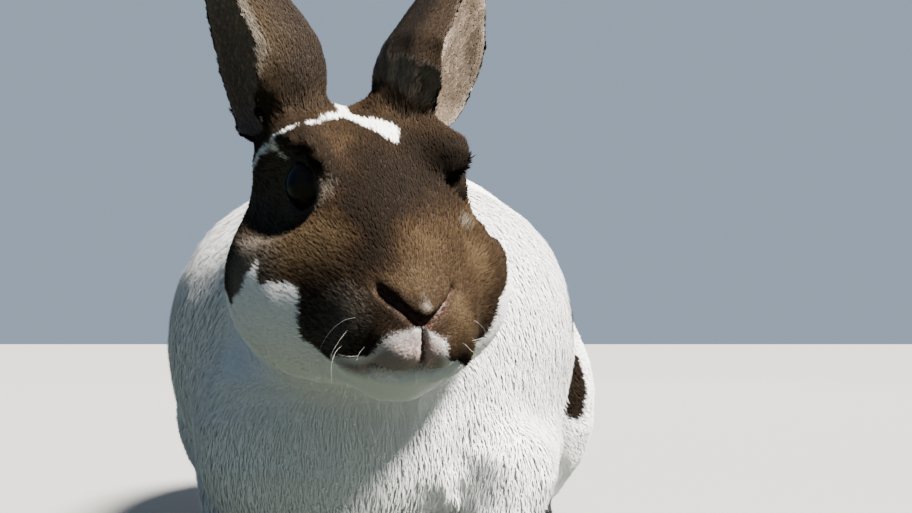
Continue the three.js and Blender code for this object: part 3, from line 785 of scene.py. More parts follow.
# Painted reflection: this grey ball on her right muzzle greys the dark fur there, as the sky's sheen on hair in shade
# would.
grey = np.maximum(grey, 0.9 * bell(gap_to((-22, 10, -12), head_points), 14))
tone = np.where(on_head + on_ear + is_part("neck") > 0, tone, -0.75)
pale = soft_balls(PALES).clip(0, 1)
# Painted light: where the back of the left ear turns away from the sun it is painted paler, so that its shaded lower
# part matches the rest of the ear.
to_sun = np.array(Vector(SUN_PLACE) - Vector(BODY_MIDDLE))
shade_from_sun = rise(-(skin_normals @ to_sun) / np.linalg.norm(to_sun), -0.16, 0.06)
left_ear_back = ears[1].side * (1 - ear_inside)
pale += 0.3 * left_ear_back * spread(shade_from_sun, 3)
pale += 0.4 * ear_front * ear_rim * rise(ear_height, 0.1, 0.3)
pale += 0.6 * ear_far * ear_rim
lid_bare = sum(rise(-o, -5.0, -2.5) * rise(-r, -EYE_RADIUS - 4, -EYE_RADIUS - 2)
               for r, o, _ in lid_out.values()).clip(0, 1)
slit_bare = sum(share * rise(-distance_to_line(from_front, line), -outer, -inner)
                for (_, _, line), (share, outer, inner) in zip(GROOVES, SLIT_WIDTHS)).clip(0, 1) * at_front
nose_red = bell(gap_to((1.1, -3.4), from_front), 1.7) * at_front
print("bare points:", int((lid_bare + slit_bare > 0.5).sum()))

# %% [markdown]
# The lie of the coat is a direction along the skin. On the face hair runs back from the nose, on the ears towards the
# tip, on the body back and down, on the chest and legs down and on the feet towards the toes. The direction is
# smoothed so that it turns gently from one part to the next, and laid flat in the skin at every point.

# %% Lie, length and thickness of the coat
FACE_SOURCE = (0, -6, -4)
face_lie = (0.45 * unit(head_points - np.array(FACE_SOURCE)) + np.array((0, 0.8, 0))) @ np.array(head_turn).T
body_side = np.tanh(skin_points[:, 0] / (60 * MM))
chest, on_tail = rise(-skin_points[:, 1] / MM, 15, 60), is_part("tail")
lie = np.stack([body_side * (0.25 - 0.05 * chest), 0.9 * (1 - chest), -0.45 - 0.55 * chest], axis=1)
for owned, way in [(on_head, face_lie), (on_leg, (0, 0.1, -1)), (on_foot, (0, -1, -0.25)), (on_tail, (0, 0.35, 1)),
                   *((e.side, e.axis) for e in ears.values())]:
    lie = np.where(owned[:, None] > 0, np.array(way), lie)
lie = spread(lie, 30)
lie -= skin_normals * (lie * skin_normals).sum(axis=1)[:, None]
lie = unit(lie)

nose_gap = gap_to(NOSE_MIDDLE, head_points)
lid_gap = np.min([np.where(r < EYE_RADIUS + 4.5, o, 90) for r, o, _ in lid_out.values()], axis=0)
hair_length = by_part(4.6, head=2.9, ear=4.6, foot=3.0) - 0.8 * chest + (11 - 4.6) * on_tail
hair_length = np.where(on_ear > 0, 1.8, spread(hair_length, 12))
hair_length = hair_length + on_ear * (3.0 * rise(-ear_height, -0.16, 0.0) + 0.2 * ear_rim)
hair_length = spread(hair_length, 3) * np.interp(nose_gap, [8, 24], [0.32, 1])
hair_length *= np.interp(lid_gap, [2, 40], [0.3, 1]) + 0.45 * on_head * rise(head_points[:, 0], 12, 20)
tufts_per_mm2 = spread(by_part(0.64, head=2.3, ear=2.3, foot=0.72), 6) * np.interp(nose_gap, [10, 26], [1.9, 1])
tufts_per_mm2 *= np.interp(lid_gap, [2, 40], [1.6, 1]) * (1 - 0.5 * ear_inside) * (1 + 0.7 * ear_rim)
philtrum_gap = lengths((from_front - np.array((1.4, -12))) / np.array((4.5, 6)))
pink = (1 - rise(philtrum_gap, 0.5, 1.0)) * at_front
tufts_per_mm2 *= 1 - 0.65 * pink
tufts_per_mm2 *= 1 - rise(np.maximum(lid_bare, slit_bare), 0.3, 0.8)
tufts_per_mm2 *= np.interp(lid_gap, [0.5, 2], [0, 1])
hair_lean = spread(by_part(76, head=72, ear=71, foot=66) - 46 * on_tail, 8) + 8 * ear_rim
print("hair from", hair_length.min().round(1), "to", hair_length.max().round(1), "mm")

# %% [markdown]
# Every painted field is written on the mesh of the skin, where the material and the coat's tree can read it by name.

# %% Write the attributes
COAT_FIELDS = {
    "brown": brown, "tone": tone, "pale": pale, "lid": lid_bare, "slit": slit_bare, "red": nose_red, "pink": pink,
    "tint": lip_tint, "dusk": ear_dusk, "grey": grey, "ear_in": ear_inside, "rim": ear_rim, "length": hair_length,
    "density": tufts_per_mm2, "lean": hair_lean, "lie": lie,
}


def write_field(mesh, name, values):
    layer = mesh.attributes.new(name, "FLOAT_VECTOR" if values.ndim == 2 else "FLOAT", "POINT")
    layer.data.foreach_set("vector" if values.ndim == 2 else "value", values.astype(np.float32).ravel())


for name, values in COAT_FIELDS.items():
    write_field(skin_mesh, name, values)
corner_points = np.array([p.vertices[:] for p in skin_mesh.polygons])
corners = skin_points[corner_points]
face_area = lengths(np.cross(corners[:, 1] - corners[:, 0], corners[:, 2] - corners[:, 0])) / 2 / MM ** 2
tuft_count = face_area * tufts_per_mm2[corner_points].mean(axis=1)
print("skin area", round(face_area.sum()), "mm2,", round(tuft_count.sum()), "tufts expected")

# %% [markdown]
# The skin gets a map, on an unwrap of its own shape, for its colours. Smart projection cuts the skin into flat
# islands by the direction its faces point, which suits a body with no natural seams. Every tuft later takes a small
# patch of the same map at its root.

# %% Unwrap the skin
UNWRAP_ANGLE, ISLAND_GAP = 1.15, 0.002
skin_mesh.polygons.foreach_set("use_smooth", [True] * len(skin_mesh.polygons))
skin_mesh.uv_layers.new(name="OFBake")
bpy.context.view_layer.objects.active = skin
skin.select_set(True)
bpy.ops.object.mode_set(mode="EDIT")
bpy.ops.mesh.select_all(action="SELECT")
bpy.ops.uv.smart_project(angle_limit=UNWRAP_ANGLE, island_margin=ISLAND_GAP)
bpy.ops.object.mode_set(mode="OBJECT")
skin.select_set(False)
print("maps on the skin:", [layer.name for layer in skin_mesh.uv_layers])

# %% [markdown]
# One node group decides the colour of hair for both the skin and the tufts. White hair is nearly plain, a little
# darker at the root as painted shade deep in the coat. Brown hair is banded from a dark root through a warm band to a
# dusky tip, and the tone picks how dark or golden the band is. The group takes two inputs: how far along the hair a
# point is, and a chance number that sets one tuft apart from the next, so that the brown looks ticked.

# %% Colour of the hair
HAIR_TONES = [(0.0, (0.0062, 0.0043, 0.0029)), (0.3, (0.0105, 0.0064, 0.0036)), (0.55, (0.0215, 0.0124, 0.0060)),
              (0.8, (0.038, 0.0245, 0.0122)), (1.0, (0.058, 0.039, 0.0205))]
HAIR_BANDS, BAND_TOP = [(0.0, 0.75), (1.0, 0.9), (0.4, 0.9), (0.72, 1.2)], 1.5
# White hair is painted slightly darker at its root, as painted shade deep in the coat.
WHITE_HAIR, WHITE_ROOT_SHADE = (0.90, 0.90, 0.89), (0.88, 0.875, 0.86)
PALE_HAIR, LIP_HAIR = (0.33, 0.29, 0.24), (0.28, 0.232, 0.218)
EAR_HAIR, EAR_DUSK = (0.50, 0.39, 0.31), (0.075, 0.056, 0.038)
hair = Nodes(bpy.data.node_groups.new("hair colour", "ShaderNodeTree"), Along="Float", Chance="Float")
along = hair.given["Along"]
chance = hair.math("SUBTRACT", hair.given["Chance"], 0.5)
tone_here = hair.scaled(chance, 0.42, hair.scaled(hair.field("tone"), 0.36, 0.47))
band = hair.add("ShaderNodeFloatCurve", {"Value": along})
band.mapping.use_clip = False
curve = band.mapping.curves[0]
for point, (place, level) in zip(curve.points, HAIR_BANDS[:2]):
    point.location = (place, level / BAND_TOP)
for place, level in HAIR_BANDS[2:]:
    curve.points.new(place, level / BAND_TOP)
band.mapping.update()
banded = hair.vector("SCALE", hair.ramp(tone_here, HAIR_TONES), hair.scaled(band.outputs[0], BAND_TOP))
saturation = hair.scaled(hair.field("grey"), -0.5, 1.0)
greyed = hair.add("ShaderNodeHueSaturation", {"Color": banded, "Saturation": saturation})
pale_share = hair.scaled(hair.scaled(chance, 0.2, hair.field("pale"), clamp=True),
                         hair.math("GREATER_THAN", hair.field("pale"), 0.02))
brown_hair = hair.mix(pale_share, greyed.outputs[0], PALE_HAIR)
ear_share = hair.math("SUBTRACT", hair.field("ear_in"), hair.scaled(hair.field("rim"), 0.3))
ear_share = hair.scaled(hair.scaled(chance, 0.5, ear_share, clamp=True), hair.field("ear_in"))
ear_colour = hair.mix(hair.scaled(chance, 0.35, hair.field("dusk"), clamp=True), EAR_HAIR, EAR_DUSK)
brown_hair = hair.mix(ear_share, brown_hair, ear_colour)
white_hair = hair.mix(hair.scaled(along, 1.6, clamp=True), WHITE_ROOT_SHADE, WHITE_HAIR)
white_hair = hair.mix(hair.field("tint"), white_hair, LIP_HAIR)
edge = hair.add("ShaderNodeMapRange", {"Value": hair.scaled(chance, 0.35, hair.field("brown")), "From Min": 0.3,
                                       "From Max": 0.7}, interpolation_type="SMOOTHSTEP")
hair.result("Colour", "Color", hair.mix(edge.outputs[0], white_hair, brown_hair))
print("hair colour nodes:", len(hair.tree.nodes))

# %% [markdown]
# The skin itself shows on the lids, in the nose slits and faintly inside the ears. Everywhere else it is the bottom
# of the coat, so it takes the hair colour near the root, with a fine grain that stands for the short flat hair
# between tufts. The lids and the nose slits are moist, so they shine a little more.

# %% Skin material
LID_SKIN, SLIT_SKIN, RED_SKIN = (0.022, 0.019, 0.018), (0.060, 0.030, 0.026), (0.110, 0.028, 0.024)
EAR_SKIN, LIP_SKIN = (0.55, 0.37, 0.30), (0.40, 0.26, 0.24)
NAP_SIZE, NAP_HEIGHT = 0.9, 0.25
skin_paint, nodes, shader = new_paint("rabbit_skin", 0.8, 0.12)
nap = nodes.mottle(NAP_SIZE)
nap.inputs["Detail"].default_value = 3
colour = nodes.add("ShaderNodeGroup", node_tree=hair.tree)
nodes.plug(colour.inputs["Along"], nodes.scaled(nap.outputs[0], 0.5, 0.2))
nodes.plug(colour.inputs["Chance"], nap.outputs[0])
in_ear = nodes.scaled(nodes.field("ear_in"), nodes.math("SUBTRACT", 0.8, nodes.scaled(nodes.field("dusk"), 0.7)))
colour = nodes.mix(in_ear, colour.outputs["Colour"], EAR_SKIN)
colour = nodes.mix(nodes.scaled(nodes.field("pink"), 0.6, nodes.scaled(nodes.field("tint"), 0.4)), colour, LIP_SKIN)
for name, bare_skin in (("slit", SLIT_SKIN), ("red", RED_SKIN), ("lid", LID_SKIN)):
    colour = nodes.mix(nodes.field(name), colour, bare_skin)
nodes.plug(shader["Base Color"], colour)
moist = nodes.math("MAXIMUM", nodes.field("lid"), nodes.field("slit"))
nodes.plug(shader["Roughness"], nodes.scaled(moist, -0.4, 0.8))
bump = nodes.add("ShaderNodeBump", {"Distance": NAP_HEIGHT * MM, "Height": nap.outputs[0]})
nodes.plug(shader["Normal"], bump.outputs[0])
skin_mesh.materials.clear()
skin_mesh.materials.append(skin_paint)
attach(skin, "root")
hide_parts(*FLESH)
print("skin:", len(skin_mesh.polygons), "faces")

# %% [markdown]
# The coat is made of tufts, because single hairs would be millions and a plain surface has no soft edge. A tuft is a
# row of thin pointed blades that bend towards the lie. The face has tufts of eight blades, and the body has tufts of
# six wider ones. Both are one unit long, and are stretched to the right size wherever they are planted.

# %% Two kinds of tuft
ROOT_SPREAD, BLADE_TURN = 0.5, 28
chooser = random.Random(7)


def make_tuft(name, blades, width, depth, bend, sway):
    points, faces, strip, blade_chance = [], [], [], []
    for blade in range(blades):
        x = ROOT_SPREAD * (2 * (blade + 0.5) / blades - 1) + chooser.uniform(-0.1, 0.1)
        root = Vector((x, chooser.uniform(-depth, depth), 0))
        turned = math.radians(chooser.uniform(-BLADE_TURN, BLADE_TURN))
        across = Vector((math.cos(turned), math.sin(turned) * 0.25, 0)) * width / 2
        height = chooser.uniform(0.76, 1.1)
        lean_x = chooser.uniform(-sway, sway)
        tip = root + Vector((lean_x, bend + chooser.uniform(-0.07, 0.07), height))
        faces.append((len(points), len(points) + 1, len(points) + 2))
        points += [root - across, root + across, tip]
        strip += [(blade + share) / blades for share in (0, 1, 0.5)]
        blade_chance += [chooser.random()] * 3
    mesh = bpy.data.meshes.new(name)
    mesh.from_pydata(points, [], faces)
    write_field(mesh, "along", np.array([0.0, 0.0, 1.0] * blades))
    write_field(mesh, "strip", np.array(strip))
    write_field(mesh, "blade_chance", np.array(blade_chance))
    return new_object(name, mesh)


face_tuft = make_tuft("face tuft", blades=8, width=0.34, depth=0.12, bend=0.16, sway=0.16)
plush_tuft = make_tuft("plush tuft", blades=6, width=0.40, depth=0.14, bend=0.12, sway=0.14)
print("tufts:", len(face_tuft.data.polygons), "and", len(plush_tuft.data.polygons), "triangles")

# %% [markdown]
# A Geometry Nodes tree plants the tufts. It scatters points over the part of the skin with the chosen number, turns
# each tuft between straight up and the lie of the coat, sizes it from the painted length, and makes it all real mesh.
# Each tuft's corners get a small patch of the skin's own map, and its shading normal is borrowed mostly from the skin
# below, which gives short dense fur its soft even shade.

# %% Tree that plants the coat
PATCH, LEAST_DENSITY, SKIN_SHADE = 0.003, 0.5, 0.93
LEAN_CHANGE, SHORTEST, LONGEST = 9, 0.8, 1.12


class GeometryNodes(Nodes):
    def named(self, name, kind="FLOAT"):
        return self.add("GeometryNodeInputNamedAttribute", {"Name": name}, data_type=kind).outputs["Attribute"]

    def store(self, geometry, name, value, kind="FLOAT", domain="POINT"):
        return self.add("GeometryNodeStoreNamedAttribute", {"Geometry": geometry, "Name": name, "Value": value},
                        data_type=kind, domain=domain).outputs[0]

    def drop(self, geometry, name):
        return self.add("GeometryNodeRemoveAttribute", {"Geometry": geometry, "Name": name}).outputs[0]

    def chance(self, low, high, seed):
        return self.add("FunctionNodeRandomValue", {2: low, 3: high, "Seed": seed}, data_type="FLOAT").outputs[1]


coat = GeometryNodes(
    bpy.data.node_groups.new("plant the coat", "GeometryNodeTree"), Skin="Geometry", Tuft="Object", Piece="Int",
    Thickness="Float", Length="Float", Untidy_degrees="Float", Seed="Int", Finish="Material")
given, vectors = coat.given, "FLOAT_VECTOR"
chosen = coat.add("FunctionNodeCompare", {2: coat.named("piece", "INT"), 3: given["Piece"]}, data_type="INT",
                  operation="EQUAL")
per_m2 = coat.scaled(coat.scaled(coat.named("density"), 1e6), given["Thickness"])
scatter = coat.add("GeometryNodeDistributePointsOnFaces", {
    "Mesh": given["Skin"], "Selection": chosen.outputs[0], "Density": per_m2, "Seed": given["Seed"]},
    distribute_method="RANDOM", use_legacy_normal=False)
up, lie_here = scatter.outputs["Normal"], coat.named("lie", vectors)
points = coat.store(scatter.outputs["Points"], "root_normal", up, vectors)
points = coat.store(points, "root_uv", coat.named("OFBake", vectors), vectors)
points = coat.drop(coat.store(points, "chance", coat.chance(0, 1, 11)), "OFBake")
lean = coat.math("RADIANS", coat.math("ADD", coat.named("lean"), coat.chance(-LEAN_CHANGE, LEAN_CHANGE, 5)))
aim = coat.vector("ADD", coat.vector("SCALE", up, coat.math("COSINE", lean)),
                  coat.vector("SCALE", lie_here, coat.math("SINE", lean)))
aim = coat.add("FunctionNodeAxesToRotation", {"Primary Axis": aim, "Secondary Axis": lie_here}, primary_axis="Z",
               secondary_axis="Y")
untidy = coat.scaled(coat.chance(-1, 1, 3), coat.math("RADIANS", given["Untidy degrees"]))
about_skin = coat.add("FunctionNodeAxisAngleToRotation", {"Axis": up, "Angle": untidy})
turned = coat.add("FunctionNodeRotateRotation", {"Rotation": aim.outputs[0], "Rotate By": about_skin.outputs[0]},
                  rotation_space="GLOBAL")
long = coat.scaled(coat.named("length"), coat.scaled(given["Length"], MM))
long = coat.scaled(long, coat.chance(SHORTEST, LONGEST, 9))
wide = coat.math("DIVIDE", MM, coat.math("SQRT", coat.math("MAXIMUM", coat.named("density"), LEAST_DENSITY)))
size = coat.add("ShaderNodeCombineXYZ", {"X": wide, "Y": long, "Z": long})
shape = coat.add("GeometryNodeObjectInfo", {"Object": given["Tuft"]}, transform_space="ORIGINAL")
plant = coat.add("GeometryNodeInstanceOnPoints", {"Points": points, "Instance": shape.outputs["Geometry"],
                                                  "Rotation": turned.outputs[0], "Scale": size.outputs[0]})
real = coat.add("GeometryNodeRealizeInstances", {"Geometry": plant.outputs[0]}).outputs[0]
patch = coat.add("ShaderNodeCombineXYZ", {"X": coat.math("SUBTRACT", coat.named("strip"), 0.5),
                                          "Y": coat.math("SUBTRACT", coat.named("along"), 0.5)})
patch = coat.vector("ADD", coat.named("root_uv", vectors), coat.vector("SCALE", patch.outputs[0], PATCH))
real = coat.store(real, "OFBake", patch, "FLOAT2", "CORNER")
mixed = coat.math("FRACT", coat.math("ADD", coat.named("chance"), coat.named("blade_chance")))
even = coat.math("ADD", coat.scaled(mixed, 0.65), coat.scaled(coat.named("chance"), 0.35))
real = coat.store(real, "chance", even)
facing, root_normal = coat.add("GeometryNodeInputNormal").outputs["Normal"], coat.named("root_normal", vectors)
same_side = coat.add("ShaderNodeVectorMath", {0: facing, 1: root_normal}, operation="DOT_PRODUCT").outputs["Value"]
shade = coat.vector("ADD", coat.vector("SCALE", root_normal, SKIN_SHADE), coat.vector("SCALE", facing, 1 - SKIN_SHADE))
for gone in ("body", "piece", "lie", "lean", "length", "density", "strip", "root_uv", "blade_chance"):
    real = coat.drop(real, gone)
turned_out = coat.add("GeometryNodeFlipFaces", {"Mesh": real, "Selection": coat.math("LESS_THAN", same_side, 0.0)})
soft = coat.add("GeometryNodeSetMeshNormal", mode="FREE", domain="CORNER")
coat.plug(soft.inputs["Mesh"], turned_out.outputs[0])
coat.plug(soft.inputs["Custom Normal"], coat.vector("NORMALIZE", shade))
real = coat.drop(soft.outputs[0], "root_normal")
coated = coat.add("GeometryNodeSetMaterial", {"Geometry": real, "Material": given["Finish"]})
coat.result("Coat", "Geometry", coated.outputs[0])
print("coat tree:", len(coat.tree.nodes), "nodes")

# %% [markdown]
# The fur's finish takes its colour from the same group as the skin, with the place along the blade as its band. Short
# dense fur is matt, with hardly any shine. A blade seen from behind is shaded by the same normal as its front.

# %% Fur material
fur_paint, nodes, shader = new_paint("rabbit_fur", 0.9, 0.05)
colour = nodes.add("ShaderNodeGroup", node_tree=hair.tree)
nodes.plug(colour.inputs["Along"], nodes.field("along"))
nodes.plug(colour.inputs["Chance"], nodes.field("chance"))
nodes.plug(shader["Base Color"], colour.outputs["Colour"])
surface = nodes.add("ShaderNodeNewGeometry").outputs
nodes.plug(shader["Normal"], nodes.vector("SCALE", surface["Normal"], nodes.scaled(surface["Backfacing"], -2.0, 1.0)))
print("fur material:", fur_paint.name)

# %% [markdown]
# The coat is planted in pieces, each small enough to handle. A face of the skin belongs to the first piece whose rule
# it meets. The finished pieces are plain meshes, so nothing depends on the tree afterwards.

# %% Plant the coat
UNTIDY, EAR_UNTIDY, TUFT_SEED = 15.0, 13.0, 21
CHEST_END, RUMP_START, FLANK_END, MUZZLE_END = -62, 105, 22, 24
x, y, z = (skin_points[corner_points].mean(axis=1) / MM).T
head_x, head_y, _ = head_points[corner_points].mean(axis=1).T
face_ear, face_head, face_foot = (part[corner_points].mean(axis=1) > 0.5
                                  for part in (on_ear, on_head, on_foot + on_leg))
rules = {
    "coat_ear_left": face_ear & (head_x > 0), "coat_ear_right": face_ear,
    "coat_muzzle": face_head & (head_y < MUZZLE_END), "coat_cheek_left": face_head & (head_x > 0),
    "coat_cheek_right": face_head, "coat_feet": face_foot, "coat_chest": y < CHEST_END,
    "coat_rump": y > RUMP_START, "coat_flank_left": (x > 0) & (y <= FLANK_END), "coat_flank_right": y <= FLANK_END,
    "coat_thigh_left": x > 0, "coat_thigh_right": x <= 0,
}
piece_of_face = np.full(len(x), -1)
for number, chosen_faces in enumerate(rules.values()):
    piece_of_face[(piece_of_face < 0) & chosen_faces] = number
layer = skin_mesh.attributes.new("piece", "INT", "FACE")
layer.data.foreach_set("value", piece_of_face.astype(np.int32))
planting = skin.modifiers.new("coat", "NODES")
planting.node_group = coat.tree
planting[coat.ids["Thickness"]] = 1.0
planting[coat.ids["Length"]] = 1.0
planting[coat.ids["Seed"]] = TUFT_SEED
planting[coat.ids["Finish"]] = fur_paint
coat_triangles = 0
for number, name in enumerate(rules):
    on_the_head = name.endswith(("muzzle", "cheek_left", "cheek_right", "ear_left", "ear_right"))
    planting[coat.ids["Piece"]] = number
    planting[coat.ids["Untidy degrees"]] = EAR_UNTIDY if "ear" in name else UNTIDY
    planting[coat.ids["Tuft"]] = face_tuft if on_the_head else plush_tuft
    skin.update_tag()
    grown = finished_mesh(skin)
    grown.name = name
    grown.materials.clear()
    grown.materials.append(fur_paint)
    grown.polygons.foreach_set("material_index", np.zeros(len(grown.polygons), np.int32))
    piece = new_object(name, grown)
    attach(piece, "root")
    coat_triangles += len(grown.polygons)
    print(name, len(grown.polygons), "triangles")
skin.modifiers.clear()
bpy.data.objects.remove(face_tuft)
bpy.data.objects.remove(plush_tuft)
skin_mesh.attributes.remove(skin_mesh.attributes["piece"])
print("coat triangles:", coat_triangles)

# %% [markdown]
# A rabbit's eye is nearly all dark brown iris with a wide pupil, under a clear bulging cornea. The eyeball is a fine
# sphere with a slight bulge at its front, and its colours are rings round its own axis. Low roughness gives the wet
# shine.

# %% Eyeballs
EYE_RINGS, EYE_STEPS = 40, 56
CORNEA_BULGE, CORNEA_ANGLE = 0.5, 34
IRIS_BROWN, PUPIL_BLACK, EYE_RIM = (0.010, 0.0055, 0.0035), (0.002, 0.002, 0.002), (0.006, 0.0045, 0.004)


def make_eye(side):
    middle, axis, forward, up = eye_frame(side)
    ball = bmesh.new()
    bmesh.ops.create_uvsphere(ball, u_segments=EYE_STEPS, v_segments=EYE_RINGS, radius=1)
    upright = Matrix((np.cross(up, axis).tolist(), up.tolist(), axis.tolist())).transposed()
    for vertex in ball.verts:
        off_axis = math.degrees(math.acos(max(-1, min(1, vertex.co.z))))
        radius = EYE_RADIUS - 0.05 + CORNEA_BULGE * math.exp(-(off_axis / CORNEA_ANGLE) ** 2)
        vertex.co = upright @ (vertex.co * radius)
    mesh = bpy.data.meshes.new("eyeball")
    bmesh.ops.recalc_face_normals(ball, faces=ball.faces)
    ball.to_mesh(mesh)
    ball.free()
    local = arrays_of(mesh)
    write_field(mesh, "off_axis", np.degrees(np.arccos((local @ axis / lengths(local)).clip(-1, 1))))
    mesh.vertices.foreach_set("co", from_frame(local + middle).ravel())
    mesh.polygons.foreach_set("use_smooth", [True] * len(mesh.polygons))
    mesh.update()
    mesh.uv_layers.new(name="OFBake")
    mesh.materials.append(eye_paint)
    return mesh


eye_paint, nodes, shader = new_paint("rabbit_eye", 0.2, 0.14)
ring = nodes.math("DIVIDE", nodes.scaled(nodes.mottle(1.2).outputs[0], 5.0, nodes.field("off_axis")), 90)
nodes.plug(shader["Base Color"], nodes.ramp(ring, [(0.0, PUPIL_BLACK), (0.27, PUPIL_BLACK), (0.33, IRIS_BROWN),
                                                   (0.55, IRIS_BROWN), (0.68, EYE_RIM)]))
for side, node in ((1, "eye_left"), (-1, "eye_right")):
    eye = new_object(node.replace("eye", "eyeball"), make_eye(side))
    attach(eye, "root")
    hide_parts(node)
print("eyeballs:", len(eye.data.polygons), "faces each")

# %% [markdown]
# A claw is a curved horn that tapers to a blunt tip. The solids give each claw's root and point, so a smooth curved
# cone is drawn between them, reaching back into the fur. Claws on a white foot are pale horn, darker where they are
# thick.

# %% Claws
CLAW_SIDES, CLAW_ROWS, CLAW_BACK, CLAW_ARCH = 10, 8, 1.5, 0.12
CLAW_ROOT, CLAW_TIP, CLAW_STREAK = (0.20, 0.13, 0.10), (0.46, 0.38, 0.29), (0.16, 0.11, 0.08)
claw_paint, nodes, shader = new_paint("claw_horn", 0.35)
streak = nodes.scaled(nodes.mottle(1.5).outputs[0], 0.5)
nodes.plug(shader["Base Color"], nodes.mix(streak, nodes.mix(nodes.field("along"), CLAW_ROOT, CLAW_TIP), CLAW_STREAK))


def make_claw(node):
    points = arrays_of(frame["nodes"][node].data)
    tip = points[np.argmin(points[:, 1] + 0.3 * points[:, 2])]
    far = lengths(points - tip)
    root = points[far > 0.8 * far.max()].mean(axis=0)
    width = lengths(points[far > 0.8 * far.max()] - root).mean()
    ahead = (tip - root) / np.linalg.norm(tip - root)
    root = root - ahead * CLAW_BACK * MM
    length = np.linalg.norm(tip - root)
    side_way = np.cross(ahead, (0, 0, 1))
    side_way /= np.linalg.norm(side_way)
    over = np.cross(side_way, ahead)
    rows, along = [], []
    for t in [row / (CLAW_ROWS - 1) for row in range(CLAW_ROWS)]:
        middle = root + ahead * length * t + over * CLAW_ARCH * length * math.sin(math.pi * t)
        radius = width * (1 - 0.92 * t ** 1.6)
        for angle in [2 * math.pi * step / CLAW_SIDES for step in range(CLAW_SIDES)]:
            rows.append(middle + radius * (0.8 * math.cos(angle) * side_way + math.sin(angle) * over))
            along.append(t)
    starts = [(r * CLAW_SIDES, s, (s + 1) % CLAW_SIDES) for r in range(CLAW_ROWS - 1) for s in range(CLAW_SIDES)]
    faces = [(r + s, r + after, r + CLAW_SIDES + after, r + CLAW_SIDES + s) for r, s, after in starts]
    faces += [tuple(range(CLAW_SIDES))[::-1], tuple((CLAW_ROWS - 1) * CLAW_SIDES + s for s in range(CLAW_SIDES))]
    mesh = bpy.data.meshes.new("claw")
    mesh.from_pydata([list(p) for p in rows], [], faces)
    write_field(mesh, "along", np.array(along))
    mesh.polygons.foreach_set("use_smooth", [len(f) == 4 for f in faces])
    closed = bmesh.new()
    closed.from_mesh(mesh)
    bmesh.ops.recalc_face_normals(closed, faces=closed.faces)
    closed.to_mesh(mesh)
    closed.free()
    mesh.materials.append(claw_paint)
    return mesh


for node in [name for name in frame["nodes"] if name.startswith("claw")]:
    horn_piece = new_object(node.replace("claw", "horn"), make_claw(node))
    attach(horn_piece, "root")
    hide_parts(node)
print("claws:", sum(name.startswith("claw") for name in frame["nodes"]))

# %% [markdown]
# This breed's whiskers are few, short and curly. Each is drawn as a line of points from its root in the pad of the
# lip, curling as it goes, and a Geometry Nodes tree gives all the lines a thin tapering round body. The lashes over
# each eye are made by the same tree, only shorter and darker.

# %% Whisker tree
TIP_THINNING = 0.85
rounded = GeometryNodes(bpy.data.node_groups.new("round the whiskers", "GeometryNodeTree"), Lines="Geometry",
                        Root_radius="Float", Sides="Int", Finish="Material")
lines = rounded.add("GeometryNodeMeshToCurve", {"Mesh": rounded.given["Lines"]})
along_line = rounded.add("GeometryNodeSplineParameter").outputs["Factor"]
profile = rounded.add("GeometryNodeCurvePrimitiveCircle", {
    "Resolution": rounded.given["Sides"], "Radius": rounded.given["Root radius"]}, mode="RADIUS")
body = rounded.add("GeometryNodeCurveToMesh", {
    "Curve": lines.outputs[0], "Profile Curve": profile.outputs[0],
    "Scale": rounded.math("SUBTRACT", 1.0, rounded.scaled(along_line, TIP_THINNING)), "Fill Caps": True})
body = rounded.add("GeometryNodeRealizeInstances", {"Geometry": body.outputs[0]})
body = rounded.add("GeometryNodeSetMaterial", {"Geometry": body.outputs[0], "Material": rounded.given["Finish"]})
rounded.result("Whiskers", "Geometry", body.outputs[0])
print("whisker tree:", len(rounded.tree.nodes), "nodes")

# %% [markdown]
# The roots of the whiskers are found on the skin itself, so none floats before the lip. Each hair starts in its own
# direction and curls by its own amount, from one fixed seed.

# %% Whiskers and lashes
LINE_POINTS, WHISKERS_EACH_SIDE, LASHES_EACH_EYE = 14, 7, 15
skin_tree = BVHTree.FromPolygons(head_points.tolist(), corner_points.tolist())
curl = random.Random(4)


def curling_line(root, direction, length, bend, droop):
    """Points of one hair in the head's frame, in millimetres."""
    point, heading, line = Vector(root), Vector(direction).normalized(), []
    side_way = heading.cross(Vector((0, 0, 1))).normalized()
    for _ in range(LINE_POINTS):
        line.append(point.copy())
        point = point + heading * length / (LINE_POINTS - 1)
        heading = (heading + (side_way * bend + Vector((0, 0, droop))) / LINE_POINTS).normalized()
    return line


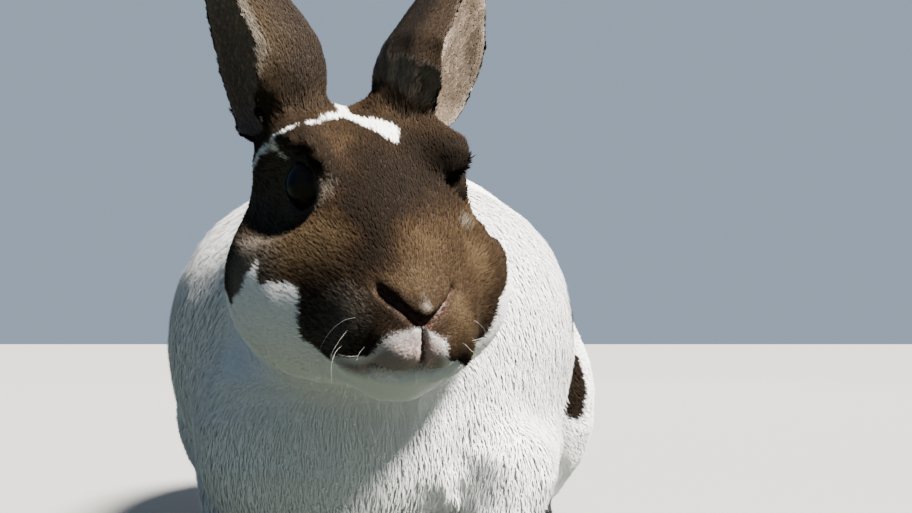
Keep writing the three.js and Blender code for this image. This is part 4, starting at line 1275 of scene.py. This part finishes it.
def hair_piece(name, lines, radius, sides, finish_name, root_colour, tip_colour):
    finish, nodes, shader = new_paint(finish_name, 0.45)
    contrast = nodes.ramp(nodes.mottle(6).outputs[0], [(0.40, 0.0), (0.56, 1.0)])
    nodes.plug(shader["Base Color"], nodes.mix(contrast, root_colour, tip_colour))
    points = [p for line in lines for p in line]
    edges = [(k, k + 1) for k in range(len(points) - 1) if (k + 1) % LINE_POINTS]
    mesh = bpy.data.meshes.new(name)
    mesh.from_pydata(from_frame(points).tolist(), edges, [])
    piece = new_object(name, mesh)
    rounding = piece.modifiers.new("round", "NODES")
    rounding.node_group = rounded.tree
    rounding[rounded.ids["Root radius"]] = radius * MM
    rounding[rounded.ids["Sides"]] = sides
    rounding[rounded.ids["Finish"]] = finish
    real = finished_mesh(piece)
    piece.modifiers.clear()
    piece.data = real
    real.materials.clear()
    real.materials.append(finish)
    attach(piece, "root")
    print(name, len(lines), "hairs", len(real.polygons), "faces")


whisker_lines, lash_lines = [], []
for side in (1, -1):
    for _ in range(WHISKERS_EACH_SIDE):
        aim_x = side * curl.uniform(9, 18)
        guess = Vector((1 + aim_x, 2 + curl.uniform(0, 8), curl.uniform(-14, -5)))
        root = skin_tree.find_nearest(guess)[0]
        outward = Vector((side * curl.uniform(0.5, 1.0), curl.uniform(-0.7, 0.5), curl.uniform(-0.7, 0.15)))
        whisker_lines.append(curling_line(root, outward, curl.uniform(6, 18), curl.uniform(-2.4, 2.4),
                                          curl.uniform(-3.2, 1.4)))
for side in (1, -1):
    middle, axis, forward, up = eye_frame(side)
    for number in range(LASHES_EACH_EYE):
        bearing = math.radians(35 + 110 * number / (LASHES_EACH_EYE - 1))
        tilt = math.radians(LID_HALF_HEIGHT + 6)
        outward = axis * math.cos(tilt) + (forward * math.cos(bearing) + up * math.sin(bearing)) * math.sin(tilt)
        heading = outward * 0.6 + axis * 0.8 + up * 0.25
        lash_lines.append(curling_line(middle + outward * (EYE_RADIUS + 0.9), heading, curl.uniform(2.5, 4),
                                       curl.uniform(-0.3, 0.3), 0.8))
hair_piece("whiskers", whisker_lines, 0.03, 5, "whisker_horn", (0.22, 0.19, 0.16), (0.50, 0.46, 0.41))
hair_piece("lashes", lash_lines, 0.06, 4, "lash_hair", (0.015, 0.011, 0.009), (0.05, 0.035, 0.025))
